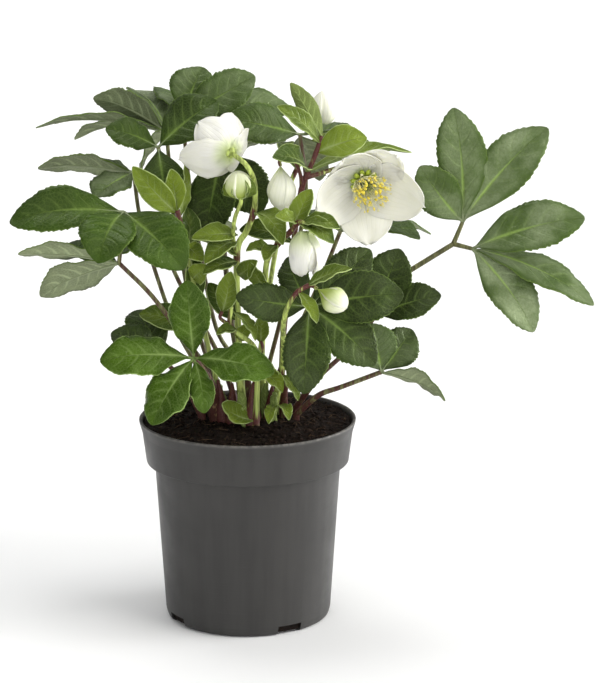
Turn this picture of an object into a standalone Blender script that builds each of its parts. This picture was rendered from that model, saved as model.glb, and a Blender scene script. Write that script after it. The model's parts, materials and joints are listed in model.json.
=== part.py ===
"""Christmas rose (Helleborus niger) growing in a grey nursery pot.

Every table below is in millimetres. The origin is the centre of the pot's underside,
+Z is up and the photograph looks along +Y. Every frond and flower stem has a hole of
its own in the soil, and each of its leaflets runs from a point of the frond to its tip.
"""

import math

import bmesh
import bpy
from mathutils import Vector, noise

MM = 0.001
PART = "potted_christmas_rose"

# Pot
POT_HEIGHT = 113.0
RIM_RADIUS = 60.0
LIP_DEPTH = 7.0
LIP_TAPER = 1.8
BAND_FOOT_RADIUS = 56.0
BAND_FOOT_HEIGHT = 89.0
BODY_TOP_RADIUS = 51.5
BASE_RADIUS = 46.0
POT_WALL = 1.5
TURN_STEPS = 24
NOTCH_WIDTH = 14.5
NOTCH_HEIGHT = 5.5
NOTCH_DEPTH = 9.0
NOTCH_ANGLES = (31, 121, 211, 301)
CUT_PAST = 1.0

# Soil
SOIL_EDGE = 111.0
SOIL_MOUND = 4.0
SOIL_ROUGHNESS = 1.3
SOIL_RINGS = (0.3, 0.6, 0.86)
ROOT_DEPTH = 8.0
HOLE_SIDES = 6

# Leaves and stems
FIT_GAP = 0.3
LEAF_THICKNESS = 0.75
SEPAL_THICKNESS = 0.7
LEAF_STATIONS = 5
BRACT_STATIONS = 4
LEAF_FOLD = math.radians(14)
TOOTH = 0.09
LEAF_FOOT = 0.8
JOINT_LENGTH = 3.0
WELD = 0.000001
SOLVER = "EXACT"

# Stalks: root in the soil, the places that the stalk bends through, radius at soil and tip
STALKS = {
    "frond_right": ((13, 13), [(20, 11, 140), (29, 5, 152), (56, 3, 174), (92, 7, 196),
                               (113, 8, 209)], 1.7, 1.4),
    "frond_left": ((-20, 6), [(-23, -4, 142), (-35, -17, 163), (-51, -23, 187),
                              (-68, -28, 206)], 1.5, 1.2),
    "frond_upper_left": ((-13, 16), [(-22, 17, 140), (-33, 22, 177), (-42, 34, 236),
                                     (-45, 40, 266)], 1.4, 1.1),
    "frond_upper_back": ((-4, 22), [(-8, 22, 140), (-19, 22, 163), (-31, 32, 229),
                                    (-36, 38, 274)], 1.4, 1.1),
    "frond_middle_left": ((-12, 2), [(-19, 3, 140), (-28, 4, 178), (-42, 6, 234),
                                     (-48, 6, 263)], 1.4, 1.1),
    "frond_centre": ((4, -14), [(0, -6, 135), (-8, 8, 160), (-14, 17, 221),
                                (-14, 17, 258)], 2.3, 1.1),
    "frond_far_left": ((-20, -2), [(-27, -1, 140), (-41, 0, 168), (-57, 8, 217),
                                   (-62, 12, 248)], 1.3, 1.1),
    "frond_back": ((7, 16), [(12, 15, 140), (21, 13, 177), (32, 16, 232),
                             (29, 18, 268)], 1.4, 1.1),
    "frond_young": ((-17, -10), [(-20, -22, 138), (-28, -38, 156)], 2.4, 1.9),
    "frond_low_left": ((-25, -10), [(-33, -13, 134), (-46, -14, 150)], 1.4, 1.2),
    "frond_front": ((20, -4), [(21, -14, 134), (29, -28, 158), (34, -36, 184)], 1.5, 1.2),
    "frond_low_right": ((27, -8), [(39, -14, 129), (52, -18, 135), (73, -25, 145)], 1.4, 1.3),
    "frond_side": ((26, 4), [(38, -7, 136), (48, -11, 147), (60, -13, 158),
                             (70, -14, 174)], 1.4, 1.2),
    "frond_rear_left": ((-8, 30), [(-18, 42, 140), (-38, 62, 172), (-50, 74, 196)], 1.4, 1.2),
    "frond_rear_right": ((12, 28), [(22, 40, 140), (40, 58, 176), (52, 68, 204)], 1.4, 1.2),
}

# Side arms of the pedate fronds, from the stalk's end
ARMS = {
    "frond_right": {"up": (118, 9, 221), "side": (123, 5, 207)},
    "frond_left": {"up": (-65, -28, 234)},
}

# Leaflets: frond point, tip, width, the way the upper face looks, and arch
LEAFLETS = {
    "frond_right": [
        ("up", (94, 3, 253), 25, (-0.1, -0.9, 0.3), 0.06),
        ("up", (113, 22, 282), 28, (0, -0.93, 0.35), 0.07),
        ("up", (164, 16, 272), 29, (-0.1, -0.85, 0.4), 0.06),
        ("side", (184, 2, 225), 30, (0, -0.75, 0.6), 0.08),
        ("side", (189, -10, 179), 26, (0.35, -0.5, 0.8), 0.06),
        ("side", (156, -18, 166), 27, (0.1, -0.8, 0.6), 0.05),
    ],
    "frond_left": [
        ("up", (-126, -30, 229), 28, (0.05, -0.8, 0.6), 0.08),
        ("up", (-77, -60, 213), 32, (-0.1, -0.75, 0.65), 0.12),
        ("up", (-32, -56, 209), 33, (0.15, -0.8, 0.55), 0.1),
        ("stalk", (-121, -38, 213), 24, (0, 0.5, 0.85), 0.05),
        ("stalk", (-112, -12, 185), 27, (-0.2, 0.75, 0.6), 0.06),
        ("stalk", (-101, 8, 208), 22, (0, -0.5, 0.85), 0.05),
    ],
    "frond_upper_left": [
        ("stalk", (-85, 42, 285), 24, (-0.1, 0.75, 0.65), 0.06),
        ("stalk", (-116, 26, 271), 25, (0, 0.3, 0.95), 0.07),
        ("stalk", (-67, 88, 282), 24, (0, 0.3, 0.9), 0.08),
        ("stalk", (-98, 68, 258), 23, (-0.3, 0.4, 0.85), 0.08),
    ],
    "frond_upper_back": [
        ("stalk", (-25, 52, 300), 27, (0, -0.9, 0.4), 0.06),
        ("stalk", (4, 46, 296), 26, (0.1, -0.85, 0.5), 0.06),
        ("stalk", (25, 56, 276), 27, (0, -0.6, 0.8), 0.08),
        ("stalk", (-46, 92, 280), 26, (0, 0.3, 0.9), 0.08),
        ("stalk", (-59, 8, 248), 20, (-0.8, 0.3, 0.55), 0.06),
    ],
    "frond_middle_left": [
        ("stalk", (-16, 10, 288), 30, (0, -0.7, 0.7), 0.06),
        ("stalk", (-43, -4, 229), 26, (-0.1, -0.9, 0.3), 0.07),
        ("stalk", (-76, 2, 274), 20, (0, -0.7, 0.7), 0.06),
    ],
    "frond_centre": [
        ("stalk", (21, 30, 263), 20, (0, 0.6, 0.8), 0.06),
        ("stalk", (8, 5, 227), 28, (0.1, -0.9, 0.3), 0.08),
        ("stalk", (-23, 0, 214), 28, (-0.1, -0.9, 0.3), 0.08),
        ("stalk", (-18, 58, 248), 24, (0, 0.3, 0.95), 0.08),
    ],
    "frond_far_left": [
        ("stalk", (-114, 12, 251), 24, (0, 0.6, 0.8), 0.06),
        ("stalk", (-98, 36, 251), 20, (0, 0.28, 0.96), 0.06),
        ("stalk", (-82, -6, 238), 26, (-0.3, -0.5, 0.8), 0.05),
    ],
    "frond_back": [
        ("stalk", (-11, 8, 278), 26, (0, -0.75, 0.65), 0.06),
        ("stalk", (68, 28, 262), 26, (0.3, 0, 0.9), 0.08),
        ("stalk", (40, 42, 238), 20, (0.2, 0.7, 0.6), 0.08),
    ],
    "frond_young": [
        ("stalk", (-31, -46, 200), 23, (0, -0.95, 0.25), 0.08),
        ("stalk", (-77, -54, 159), 25, (0.05, -0.7, 0.7), 0.1),
        ("stalk", (-50, -60, 125), 25, (-0.2, -0.8, 0.55), 0.1),
        ("stalk", (-22, -58, 131), 14, (0.1, -0.9, 0.3), 0.08),
        ("stalk", (15, -54, 152), 24, (0.1, -0.8, 0.6), 0.12),
    ],
    "frond_low_left": [
        ("stalk", (-74, -8, 163), 22, (0, -0.6, 0.8), 0.06),
        ("stalk", (-77, -24, 148), 20, (-0.1, -0.5, 0.85), 0.06),
        ("stalk", (-62, 16, 170), 24, (0, -0.3, 0.95), 0.08),
    ],
    "frond_front": [
        ("stalk", (84, -42, 192), 30, (0, -0.92, 0.3), 0.06),
        ("stalk", (69, -52, 156), 27, (0.1, -0.9, 0.35), 0.08),
        ("stalk", (31, -60, 142), 27, (0, -0.9, 0.4), 0.08),
        ("stalk", (-5, -42, 191), 21, (0, -0.9, 0.4), 0.06),
        ("stalk", (67, -17, 211), 24, (0, -0.85, 0.5), 0.06),
        ("stalk", (22, -13, 206), 18, (-0.3, -0.8, 0.4), 0.06),
    ],
    "frond_low_right": [
        ("stalk", (67, -34, 174), 24, (0.1, -0.8, 0.6), 0.06),
        ("stalk", (90, -14, 166), 22, (0.2, -0.8, 0.5), 0.06),
        ("stalk", (107, -46, 135), 22, (0.3, 0.6, 0.75), 0.08),
    ],
    "frond_side": [
        ("stalk", (83, -10, 210), 26, (0, -0.95, 0.3), 0.06),
        ("stalk", (105, -22, 187), 22, (0, -0.8, 0.6), 0.06),
        ("stalk", (98, 8, 172), 22, (0.1, -0.3, 0.95), 0.06),
    ],
    "frond_rear_left": [
        ("stalk", (-104, 72, 206), 28, (-0.1, 0.2, 0.97), 0.1),
        ("stalk", (-88, 112, 192), 28, (-0.3, 0.5, 0.8), 0.1),
        ("stalk", (-44, 126, 186), 29, (0, 0.6, 0.8), 0.1),
        ("stalk", (-8, 104, 198), 26, (0.2, 0.4, 0.9), 0.1),
        ("stalk", (-84, 40, 190), 24, (-0.3, -0.3, 0.9), 0.1),
    ],
    "frond_rear_right": [
        ("stalk", (96, 44, 205), 26, (0.2, -0.2, 0.95), 0.1),
        ("stalk", (104, 82, 200), 28, (0.4, 0.3, 0.85), 0.1),
        ("stalk", (70, 120, 190), 29, (0.2, 0.6, 0.8), 0.1),
        ("stalk", (18, 110, 204), 27, (-0.2, 0.5, 0.85), 0.1),
        ("stalk", (52, 88, 238), 24, (0, 0.8, 0.6), 0.08),
    ],
}

# Flower stems: root, bends, radius at soil and tip, and the flower or bud at the end
STEMS = {
    "stem_arched": ((-2, -20), [(-4, -14, 148), (-5, -10, 176), (-5, -10, 209),
                                (0, -12, 220), (4, -14, 231), (5, -18, 242), (4, -25, 252),
                                (0, -29, 260)], 2.0, 1.2, "bloom_left"),
    "stem_drooping": ((9, -8), [(8, -10, 150), (10, -14, 185), (11, -18, 204),
                                (16, -23, 214), (24, -32, 224), (28, -37.5, 230)],
                      1.9, 1.1, "bud_white"),
    "stem_tall": ((17, 2), [(19, 0, 140), (20, -1, 162), (24, -3, 197), (27, -6, 225),
                            (29, -8, 239), (32, -8, 249), (36, -7, 258), (41, -5, 271)],
                  1.9, 1.2, None),
    "stem_young_leaves": ((-10, -9), [(-16, -10, 133), (-23, -10, 164), (-28, -11, 186),
                                      (-32, -13, 209), (-35, -16, 224), (-37, -18, 233)],
                          1.5, 1.2, None),
    "stem_low_bud": ((14, -14), [(19, -22, 145), (20, -32, 161), (20, -43, 174),
                                 (22, -51, 186), (27, -53, 195), (33, -53, 199)],
                     1.7, 1.0, "bud_side"),
    "stem_far_bloom": ((4, 6), [(6, 6, 140), (12, 28, 180), (22, 48, 230), (35, 52, 256)],
                       1.6, 1.1, "bud_far"),
    "shoot_low": ((5, -24), [(6, -24, 141), (7, -25, 152), (3, -26, 161), (-5, -25, 167),
                             (-9, -24, 172), (-8, -23, 181)], 1.5, 1.2, None),
}

# Side branches of the stems: where they leave the stem, their bends, radius, and flower
BRANCHES = {
    "stem_arched": [((-5, -10, 206), [(-7, -15, 217), (-6, -21, 229)], 1.1, "bud_green")],
    "stem_tall": [((30, -8, 243), [(29, -12, 252), (25, -15, 260)], 1.0, "bud_hanging"),
                  ((32, -8, 249), [(40, -2, 250), (51, 6, 252), (61, 8, 252)], 1.2,
                   "bloom_right")],
    "shoot_low": [((7, -25, 150), [(9, -23, 156), (8, -22, 162)], 0.9, None),
                  ((-9, -24, 171), [(-14, -25, 175), (-13, -25, 179)], 1.0, None)],
}

# Leafy bracts of the stems: base, tip, width, the way the upper face looks, and arch
BRACTS = {
    "stem_arched": [((4, -14, 230), (20, -37, 218), 15, (0.2, -0.5, 0.85), 0.2),
                    ((-4, -10, 206), (-27, -17, 217), 11, (0, -0.6, 0.8), 0.08)],
    "stem_drooping": [((24, -32, 224), (35, -26, 246), 12, (-0.3, -0.85, 0.3), 0.06),
                      ((28, -37, 229), (50, -45, 229), 12, (0, -0.4, 0.9), 0.12),
                      ((17, -24, 215), (10, -36, 209), 9, (-0.4, -0.7, 0.6), 0.1),
                      ((14, -21, 212), (0, -24, 212), 10, (0, -0.5, 0.85), 0.1)],
    "stem_tall": [((41, -5, 270), (24, 1, 299), 12, (-0.3, 0.5, 0.6), 0.05),
                  ((40, -6, 267), (17, -15, 289), 12, (-0.3, -0.5, 0.8), 0.06),
                  ((38, -6, 262), (65, -4, 270), 19, (0, -0.85, 0.55), 0.12),
                  ((33, -8, 252), (15, -29, 264), 18, (-0.3, -0.7, 0.6), 0.14),
                  ((33, -7, 252), (90, 20, 259), 14, (0, -0.1, 1), 0.05)],
    "stem_young_leaves": [((-37, -18, 232), (-40, -22, 256), 12, (0.1, -0.95, 0.1), -0.06),
                          ((-37, -17, 231), (-60, -26, 258), 15, (-0.3, -0.8, 0.5), 0.08),
                          ((-36, -17, 228), (-33, -9, 256), 9, (0.8, -0.4, 0.2), 0.04),
                          ((-33, -14, 214), (-23, -22, 206), 11, (0.1, -0.9, 0.3), 0.12)],
    "stem_low_bud": [((33, -53, 199), (56, -59, 210), 10, (-0.3, -0.6, 0.7), 0.1),
                     ((28, -53, 196), (38, -62, 181), 8, (0.4, -0.7, 0.5), 0.1),
                     ((19, -22, 143), (28, -29, 130), 8, (0.4, -0.6, 0.6), 0.1)],
    "stem_far_bloom": [((28, 50, 242), (18, 74, 254), 14, (-0.2, 0.4, 0.9), 0.1),
                       ((34, 52, 253), (62, 62, 258), 14, (0.2, -0.2, 0.9), 0.1)],
    "shoot_low": [((-13, -25, 178), (-8, -27, 201), 12, (-0.1, -0.95, 0.2), 0.08),
                  ((4, -25, 117.5), (-13, -32, 129), 13, (0.45, -0.7, 0.6), -0.22),
                  ((8, -22, 160), (8, -22, 176), 9, (0, -0.95, 0.2), 0.06)],
}

# Flowers: foot, the way the flower looks, the sepals' lengths and their width, opening
# angle at the foot, how far they bend in by their tips, turn of the first, in degrees
FLOWERS = {
    "bloom_right": ((63, 1, 247), (0.18, -1, -0.27), (34, 35, 27, 27, 35), 36, 76, 42, 45),
    "bloom_left": ((-7, -26, 265), (-0.57, 0.8, 0.24), (26.5, 28, 28, 23, 22), 28, 77, 64, 54),
}
SEPALS = 5
SEPAL_FOOT_RADIUS = 2.4
SEPAL_FOOT_HEIGHT = 1.6
SEPAL_WRAP_RADIUS = 4.5
SEPAL_LAP = 0.16
SEPAL_STATIONS = 5
BELL_STATIONS = 4
RECEPTACLE_RADIUS = 3.0
RECEPTACLE_HEIGHT = 3.7

# Rings round the flower's axis: inner and outer radius, lower and upper height
NECTARY_RING = (3.4, 4.7, 3.9, 4.9)
STAMEN_RING = (1.75, 2.9, 4.0, 5.0)

# What stands in the rings: how many, radius and height of the feet, those of the tips in
# turn, thickness at foot and tip, sides
NECTARIES = (10, (4.0, 4.4), [(6.9, 7.4)], (0.7, 1.1), 4)
STAMENS = (13, (2.3, 4.3), [(6.4, 17), (4.4, 18), (8.0, 15.5)], (0.4, 0.9), 3)
STYLES = (6, (0.8, 6.5), [(2.4, 14)], (0.8, 0.4), 4)
OVARY_RADIUS = 1.35
OVARY_HEIGHTS = (4.0, 7.5)

# Buds: foot, the way the bud looks, length, radius, twist of its sepals, colour
BUDS = {
    "bud_green": ((-3, -25, 241), (-0.1, -0.1, 1), 15, 7.2, 0.5, "bud"),
    "bud_hanging": ((18.5, -15, 256.5), (0.04, 0, -1), 25.5, 7.2, 0.9, "bud"),
    "bud_far": ((43, 50, 268), (-0.1, 0, 1), 19, 7.4, 0.6, "sepal"),
    "bud_side": ((38, -53, 197.5), (0.85, -0.3, -0.5), 19, 6.6, 0.4, "bud"),
}
BUD_RINGS = 7
BUD_LAP = 0.12

# Half-open bud: foot, the way it looks, sepal lengths and width, opening and bend
HALF_OPEN = {
    "bud_white": ((31, -41, 227.5), (0.06, -0.08, -1), (26, 24, 25, 27, 23.5), 14, 54, 98),
}

# Colours: linear red, green, blue, then roughness
COLOURS = {
    "pot_plastic": ((0.066, 0.064, 0.060), 0.38),
    "soil": ((0.016, 0.010, 0.007), 0.95),
    "leaf": ((0.030, 0.080, 0.018), 0.42),
    "young_leaf": ((0.075, 0.190, 0.024), 0.42),
    "petiole": ((0.110, 0.085, 0.040), 0.50),
    "young_petiole": ((0.075, 0.022, 0.026), 0.50),
    "stem": ((0.190, 0.260, 0.070), 0.50),
    "sepal": ((0.800, 0.790, 0.710), 0.55),
    "nectary": ((0.420, 0.560, 0.080), 0.45),
    "stamen": ((0.800, 0.620, 0.080), 0.60),
    "pistil": ((0.420, 0.470, 0.140), 0.50),
    "bud": ((0.520, 0.620, 0.240), 0.55),
}


def mm(point):
    """A point given in millimetres, in metres"""
    return Vector(point) * MM


def clear_scene():
    for obj in list(bpy.data.objects):
        bpy.data.objects.remove(obj)


def new_collection(name, parent=None):
    collection = bpy.data.collections.new(name)
    (parent or bpy.context.scene.collection).children.link(collection)
    return collection


def new_material(name):
    colour, roughness = COLOURS[name]
    material = bpy.data.materials.new(name)
    material.use_nodes = True
    shader = material.node_tree.nodes["Principled BSDF"]
    shader.inputs["Base Color"].default_value = (*colour, 1)
    shader.inputs["Roughness"].default_value = roughness
    shader.inputs["Metallic"].default_value = 0
    material.diffuse_color = (*colour, 1)
    return material


def add_object(name, data, collection):
    obj = bpy.data.objects.new(name, data)
    collection.objects.link(obj)
    return obj


def object_from(bm, name, collection):
    """A new object that takes a bmesh's faces"""
    mesh = bpy.data.meshes.new(name)
    bm.to_mesh(mesh)
    bm.free()
    return add_object(name, mesh, collection)


def applied(obj):
    """Replace an object by its evaluated mesh, in the world's frame"""
    graph = bpy.context.evaluated_depsgraph_get()
    mesh = bpy.data.meshes.new_from_object(obj.evaluated_get(graph))
    mesh.transform(obj.matrix_world)
    name, home = obj.name, obj.users_collection[0]
    bpy.data.objects.remove(obj)
    return add_object(name, mesh, home)


def weld_caps(obj):
    """Join a curve's loose caps to its sides"""
    bm = bmesh.new()
    bm.from_mesh(obj.data)
    bmesh.ops.remove_doubles(bm, verts=bm.verts, dist=WELD)
    bm.to_mesh(obj.data)
    bm.free()
    return obj


def smooth_route(points, steps):
    """Points along a Catmull-Rom curve through the given ones"""
    ends = [points[0] * 2 - points[1], *points, points[-1] * 2 - points[-2]]
    route = []
    for before, start, end, after in zip(ends, ends[1:], ends[2:], ends[3:]):
        for step in range(steps):
            t = step / steps
            route.append(0.5 * (2 * start + (end - before) * t
                                + (2 * before - 5 * start + 4 * end - after) * t ** 2
                                + (3 * start - before - 3 * end + after) * t ** 3))
    return [*route, points[-1]]


def tube(name, route, first_radius, last_radius, collection):
    """A six-sided tube along a route in metres, its radii in millimetres, with caps"""
    curve = bpy.data.curves.new(name, "CURVE")
    curve.dimensions = "3D"
    curve.bevel_depth = first_radius * MM
    curve.bevel_resolution = 1
    curve.use_fill_caps = True
    spline = curve.splines.new("POLY")
    spline.points.add(len(route) - 1)
    for index, (point, place) in enumerate(zip(spline.points, route)):
        share = index / (len(route) - 1)
        point.co = (*place, 1)
        point.radius = 1 + (last_radius / first_radius - 1) * share
    return add_object(name, curve, collection)


def solid_tube(name, route, first_radius, last_radius, collection):
    return weld_caps(applied(tube(name, route, first_radius, last_radius, collection)))


def surface(name, place, along, across, thickness, collection):
    """A thin solid over a grid that place(u, v) lays out, u 0 to 1 and v -1 to 1"""
    bm = bmesh.new()
    bmesh.ops.create_grid(bm, x_segments=along, y_segments=across, size=0.5)
    for vert in bm.verts:
        vert.co = place(vert.co.x + 0.5, vert.co.y * 2)
    bmesh.ops.triangulate(bm, faces=bm.faces)
    obj = object_from(bm, name, collection)
    solidify = obj.modifiers.new("thickness", "SOLIDIFY")
    solidify.thickness = thickness * MM
    solidify.offset = 0
    return applied(obj)


def joined(name, pieces, material):
    """One solid of several that overlap, by a Boolean union on a collection"""
    repeats = new_collection("repeats")
    core, *rest = pieces
    for piece in rest:
        piece.users_collection[0].objects.unlink(piece)
        repeats.objects.link(piece)
    union = core.modifiers.new("union", "BOOLEAN")
    union.operation = "UNION"
    union.operand_type = "COLLECTION"
    union.collection = repeats
    union.solver = SOLVER
    solid = applied(core)
    solid.name = name
    for piece in list(repeats.objects):
        bpy.data.objects.remove(piece)
    bpy.data.collections.remove(repeats)
    solid.data.materials.clear()
    solid.data.materials.append(material)
    return solid


def cut(obj, cutters):
    """Take a collection of cutters out of an object"""
    boolean = obj.modifiers.new("cut", "BOOLEAN")
    boolean.operation = "DIFFERENCE"
    boolean.operand_type = "COLLECTION"
    boolean.collection = cutters
    return applied(obj)


def as_cutter(obj):
    obj.hide_render = True
    obj.display_type = "WIRE"


def pot_outline():
    """Outer half outline of the pot, from the rim's top down to the underside"""
    return [(RIM_RADIUS, POT_HEIGHT), (RIM_RADIUS - 0.2, POT_HEIGHT - 1.6),
            (RIM_RADIUS - LIP_TAPER, POT_HEIGHT - LIP_DEPTH),
            (BAND_FOOT_RADIUS, BAND_FOOT_HEIGHT + 1.6),
            (BAND_FOOT_RADIUS - 0.7, BAND_FOOT_HEIGHT + 0.3),
            (BODY_TOP_RADIUS + 0.3, BAND_FOOT_HEIGHT - 0.4),
            (BASE_RADIUS, 4.4), (BASE_RADIUS - 0.9, 1.2), (BASE_RADIUS - 3, 0)]


def inner_outline(gap):
    """The pot's inside, from the rim down to the floor, kept clear of it by a gap"""
    inset = POT_WALL + gap
    return [(RIM_RADIUS - inset, POT_HEIGHT),
            (RIM_RADIUS - LIP_TAPER - inset, POT_HEIGHT - LIP_DEPTH),
            (BAND_FOOT_RADIUS - inset, BAND_FOOT_HEIGHT + inset),
            (BODY_TOP_RADIUS - inset, BAND_FOOT_HEIGHT + inset),
            (BASE_RADIUS - inset, inset)]


def turned(name, outline, collection):
    """A closed outline in X and Z turned once round the Z axis"""
    bm = bmesh.new()
    verts = [bm.verts.new((radius * MM, 0, height * MM)) for radius, height in outline]
    for first, second in zip(verts, verts[1:]):
        bm.edges.new((first, second))
    obj = object_from(bm, name, collection)
    screw = obj.modifiers.new("turn", "SCREW")
    screw.steps = TURN_STEPS
    screw.render_steps = TURN_STEPS
    screw.use_merge_vertices = True
    screw.merge_threshold = WELD
    return obj


def make_pot(parts, cutters, material):
    """Turned pot with a banded rim and a notch at four places of its foot"""
    inside = list(reversed(inner_outline(0)))
    outline = [(0, POT_WALL), *inside, *pot_outline(), (0, 0)]
    pot = turned("pot", outline, parts)
    notches = new_collection("notches", cutters)
    depth = NOTCH_DEPTH + CUT_PAST
    reach = BASE_RADIUS + CUT_PAST - depth / 2
    for angle in NOTCH_ANGLES:
        turn = math.radians(angle)
        bm = bmesh.new()
        bmesh.ops.create_cube(bm, size=1)
        bmesh.ops.scale(bm, verts=bm.verts, vec=mm((NOTCH_WIDTH, depth, 2 * NOTCH_HEIGHT)))
        notch = object_from(bm, "notch", notches)
        notch.location = mm((reach * math.sin(turn), -reach * math.cos(turn), 0))
        notch.rotation_euler.z = turn
        as_cutter(notch)
    pot = cut(pot, notches)
    pot.data.shade_smooth()
    pot.data.set_sharp_from_angle(angle=math.radians(35))
    pot.data.materials.append(material)


def soil_height(x, y):
    """Height of the loose soil at a place, all in millimetres"""
    share = min(1, math.hypot(x, y) / BODY_TOP_RADIUS)
    lumps = noise.noise(Vector((x, y, 7)) / 9) + 0.6 * noise.noise(Vector((x, y, 31)) / 4)
    return SOIL_EDGE + SOIL_MOUND * (1 - share ** 2) + SOIL_ROUGHNESS * lumps


def make_soil(parts, cutters, material):
    """Potting soil that fills the pot, with a round hole for each stem"""
    walls = inner_outline(FIT_GAP)
    edge = walls[1][0]
    rings = [(edge * share, SOIL_EDGE) for share in SOIL_RINGS]
    top = [(0, SOIL_EDGE), *rings, (edge + 0.6, SOIL_EDGE)]
    outline = [*top, *walls[1:], (0, POT_WALL + FIT_GAP)]
    soil = applied(turned("soil", outline, parts))
    for vert in soil.data.vertices:
        x, y, z = vert.co / MM
        if z > SOIL_EDGE - 0.1:
            vert.co.z = soil_height(x, y) * MM
    holes = new_collection("holes", cutters)
    for name, ((x, y), _, radius, *_) in {**STALKS, **STEMS}.items():
        bottom = soil_height(x, y) - ROOT_DEPTH - FIT_GAP
        height = 2 * ROOT_DEPTH
        hole_radius = (radius + FIT_GAP) / math.cos(math.pi / HOLE_SIDES) * MM
        bm = bmesh.new()
        bmesh.ops.create_cone(bm, cap_ends=True, segments=HOLE_SIDES, radius1=hole_radius,
                              radius2=hole_radius, depth=height * MM)
        hole = object_from(bm, "hole_" + name, holes)
        hole.location = mm((x, y, bottom + height / 2))
        as_cutter(hole)
    soil = cut(soil, holes)
    soil.data.materials.append(material)


def rooted_route(root, bends, steps):
    """A route that stands straight in its hole and then runs through its bends"""
    x, y = root
    ground = soil_height(x, y)
    start = mm((x, y, ground + 3))
    return [mm((x, y, ground - ROOT_DEPTH)), *smooth_route([start, *bends], steps)]


def leaf_half_width(u):
    """Half the leaf's outline, 0 to 1, widest past the middle"""
    return max(0.075, math.sin(math.pi * u ** 1.2) ** 0.65)


def leaf_place(base, tip, width, face, arch, stations):
    """Layout of a leaf from its base to its tip, folded at the rib and arched"""
    length = (tip - base).length
    along = (tip - base) / length
    up = (face - along * face.dot(along)).normalized()
    side = up.cross(along)

    def place(u, v):
        tooth = TOOTH * (-1) ** round(u * stations) if u > 0.3 else 0
        half = width / 2 * leaf_half_width(u) * (1 + tooth)
        rib = base + along * length * u + up * (arch * length * 4 * u * (1 - u))
        return (rib + side * half * v * math.cos(LEAF_FOLD)
                + up * half * abs(v) * math.sin(LEAF_FOLD))

    return place


def leaf(name, base, tip, width, face, arch, stations, collection):
    """A leaf whose narrow foot stands in the arm or stem that carries it"""
    base, tip = mm(base), mm(tip)
    place = leaf_place(base, tip, width * MM, Vector(face), arch, stations)
    return surface(name, place, stations, 2, LEAF_THICKNESS, collection)


def make_frond(name, parts, leaf_material, stalk_material):
    """A frond's stalk, and above a fine joint the leaflets with their arms"""
    root, bends, radius, tip_radius = STALKS[name]
    route = rooted_route(root, [mm(bend) for bend in bends], 1 if len(bends) > 3 else 2)
    end = route[-1]
    way = (end - route[-2]).normalized()
    route[-1] = end - way * (JOINT_LENGTH + FIT_GAP) * MM
    stalk = tube(name + "_stalk", route, radius, tip_radius, parts)
    stalk.data.materials.append(stalk_material)
    hub = [end - way * JOINT_LENGTH * MM, end + way * tip_radius * MM]
    pieces = [solid_tube(name, hub, tip_radius, tip_radius, parts)]
    points = {"stalk": bends[-1], **ARMS.get(name, {})}
    for place in ARMS.get(name, {}).values():
        reach = mm(place) - end
        reach += reach.normalized() * tip_radius * MM
        pieces.append(solid_tube("arm", [end, end + reach], tip_radius, tip_radius, parts))
    for start, tip, width, face, arch in LEAFLETS[name]:
        start = points[start]
        foot = Vector(start) + (Vector(tip) - Vector(start)).normalized() * LEAF_FOOT
        pieces.append(leaf("leaflet", foot, tip, width, face, arch, LEAF_STATIONS, parts))
    joined(name + "_leaflets", pieces, leaf_material)


def flower_foot(name):
    """Where a flower or bud stands on its stem, and the way that it looks"""
    foot, axis = {**FLOWERS, **BUDS, **HALF_OPEN}[name][:2]
    return mm(foot), Vector(axis).normalized()


def carrying_route(bends, flower):
    """Bends in metres that end square under the flower, clear of it by the fit's gap"""
    if not flower:
        return [mm(bend) for bend in bends]
    foot, axis = flower_foot(flower)
    return [*map(mm, bends), foot - axis * 3 * MM, foot - axis * FIT_GAP * MM]


def make_stem(name, parts, material):
    """A flower stem or shoot with its branches and leafy bracts, in one solid"""
    root, bends, radius, tip_radius, flower = STEMS[name]
    route = rooted_route(root, carrying_route(bends, flower), 1)
    pieces = [solid_tube(name, route, radius, tip_radius, parts)]
    for start, way, branch_radius, branch_flower in BRANCHES.get(name, []):
        branch = [mm(start), *carrying_route(way, branch_flower)]
        pieces.append(solid_tube("branch", branch, branch_radius, branch_radius, parts))
    for base, tip, width, face, arch in BRACTS[name]:
        pieces.append(leaf("bract", base, tip, width, face, arch, BRACT_STATIONS, parts))
    joined(name, pieces, material)


def axis_frame(axis):
    """Three unit vectors, the third along the axis"""
    third = Vector(axis).normalized()
    first = third.orthogonal().normalized()
    return first, third.cross(first), third


def on_flower(foot, frame, radius, turn, height):
    """A point at a radius, a turn and a height in millimetres round the flower's axis"""
    first, second, third = frame
    outward = first * math.cos(turn) + second * math.sin(turn)
    return foot + (outward * radius + third * height) * MM


def sepal_half_width(u):
    """Half the sepal's outline, 0 to 1, with a narrow foot and a round tip"""
    return max(0.1, math.sin(math.pi * u ** 0.98) ** 0.62)


def sepal_place(foot, frame, turn, length, width, opening, bend):
    """Layout of a sepal that leaves the flower's foot and bends in round its axis. One
    edge of it lies further in than the other, so that neighbours lap and don't cross."""
    reach = length / bend

    def place(u, v):
        angle = opening - bend * u
        radius = SEPAL_FOOT_RADIUS + reach * (math.cos(angle) - math.cos(opening))
        height = SEPAL_FOOT_HEIGHT + reach * (math.sin(opening) - math.sin(angle))
        wrap = max(radius, SEPAL_WRAP_RADIUS)
        across = width / 2 * sepal_half_width(u) * v
        lap = SEPAL_LAP * across
        swing = across / wrap
        inward = wrap * (1 - math.cos(swing)) + lap * math.cos(angle)
        side = wrap * math.sin(swing)
        out = math.hypot(radius - inward, side)
        swerve = math.atan2(side, radius - inward)
        return on_flower(foot, frame, out, turn + swerve, height + lap * math.sin(angle))

    return place


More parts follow.
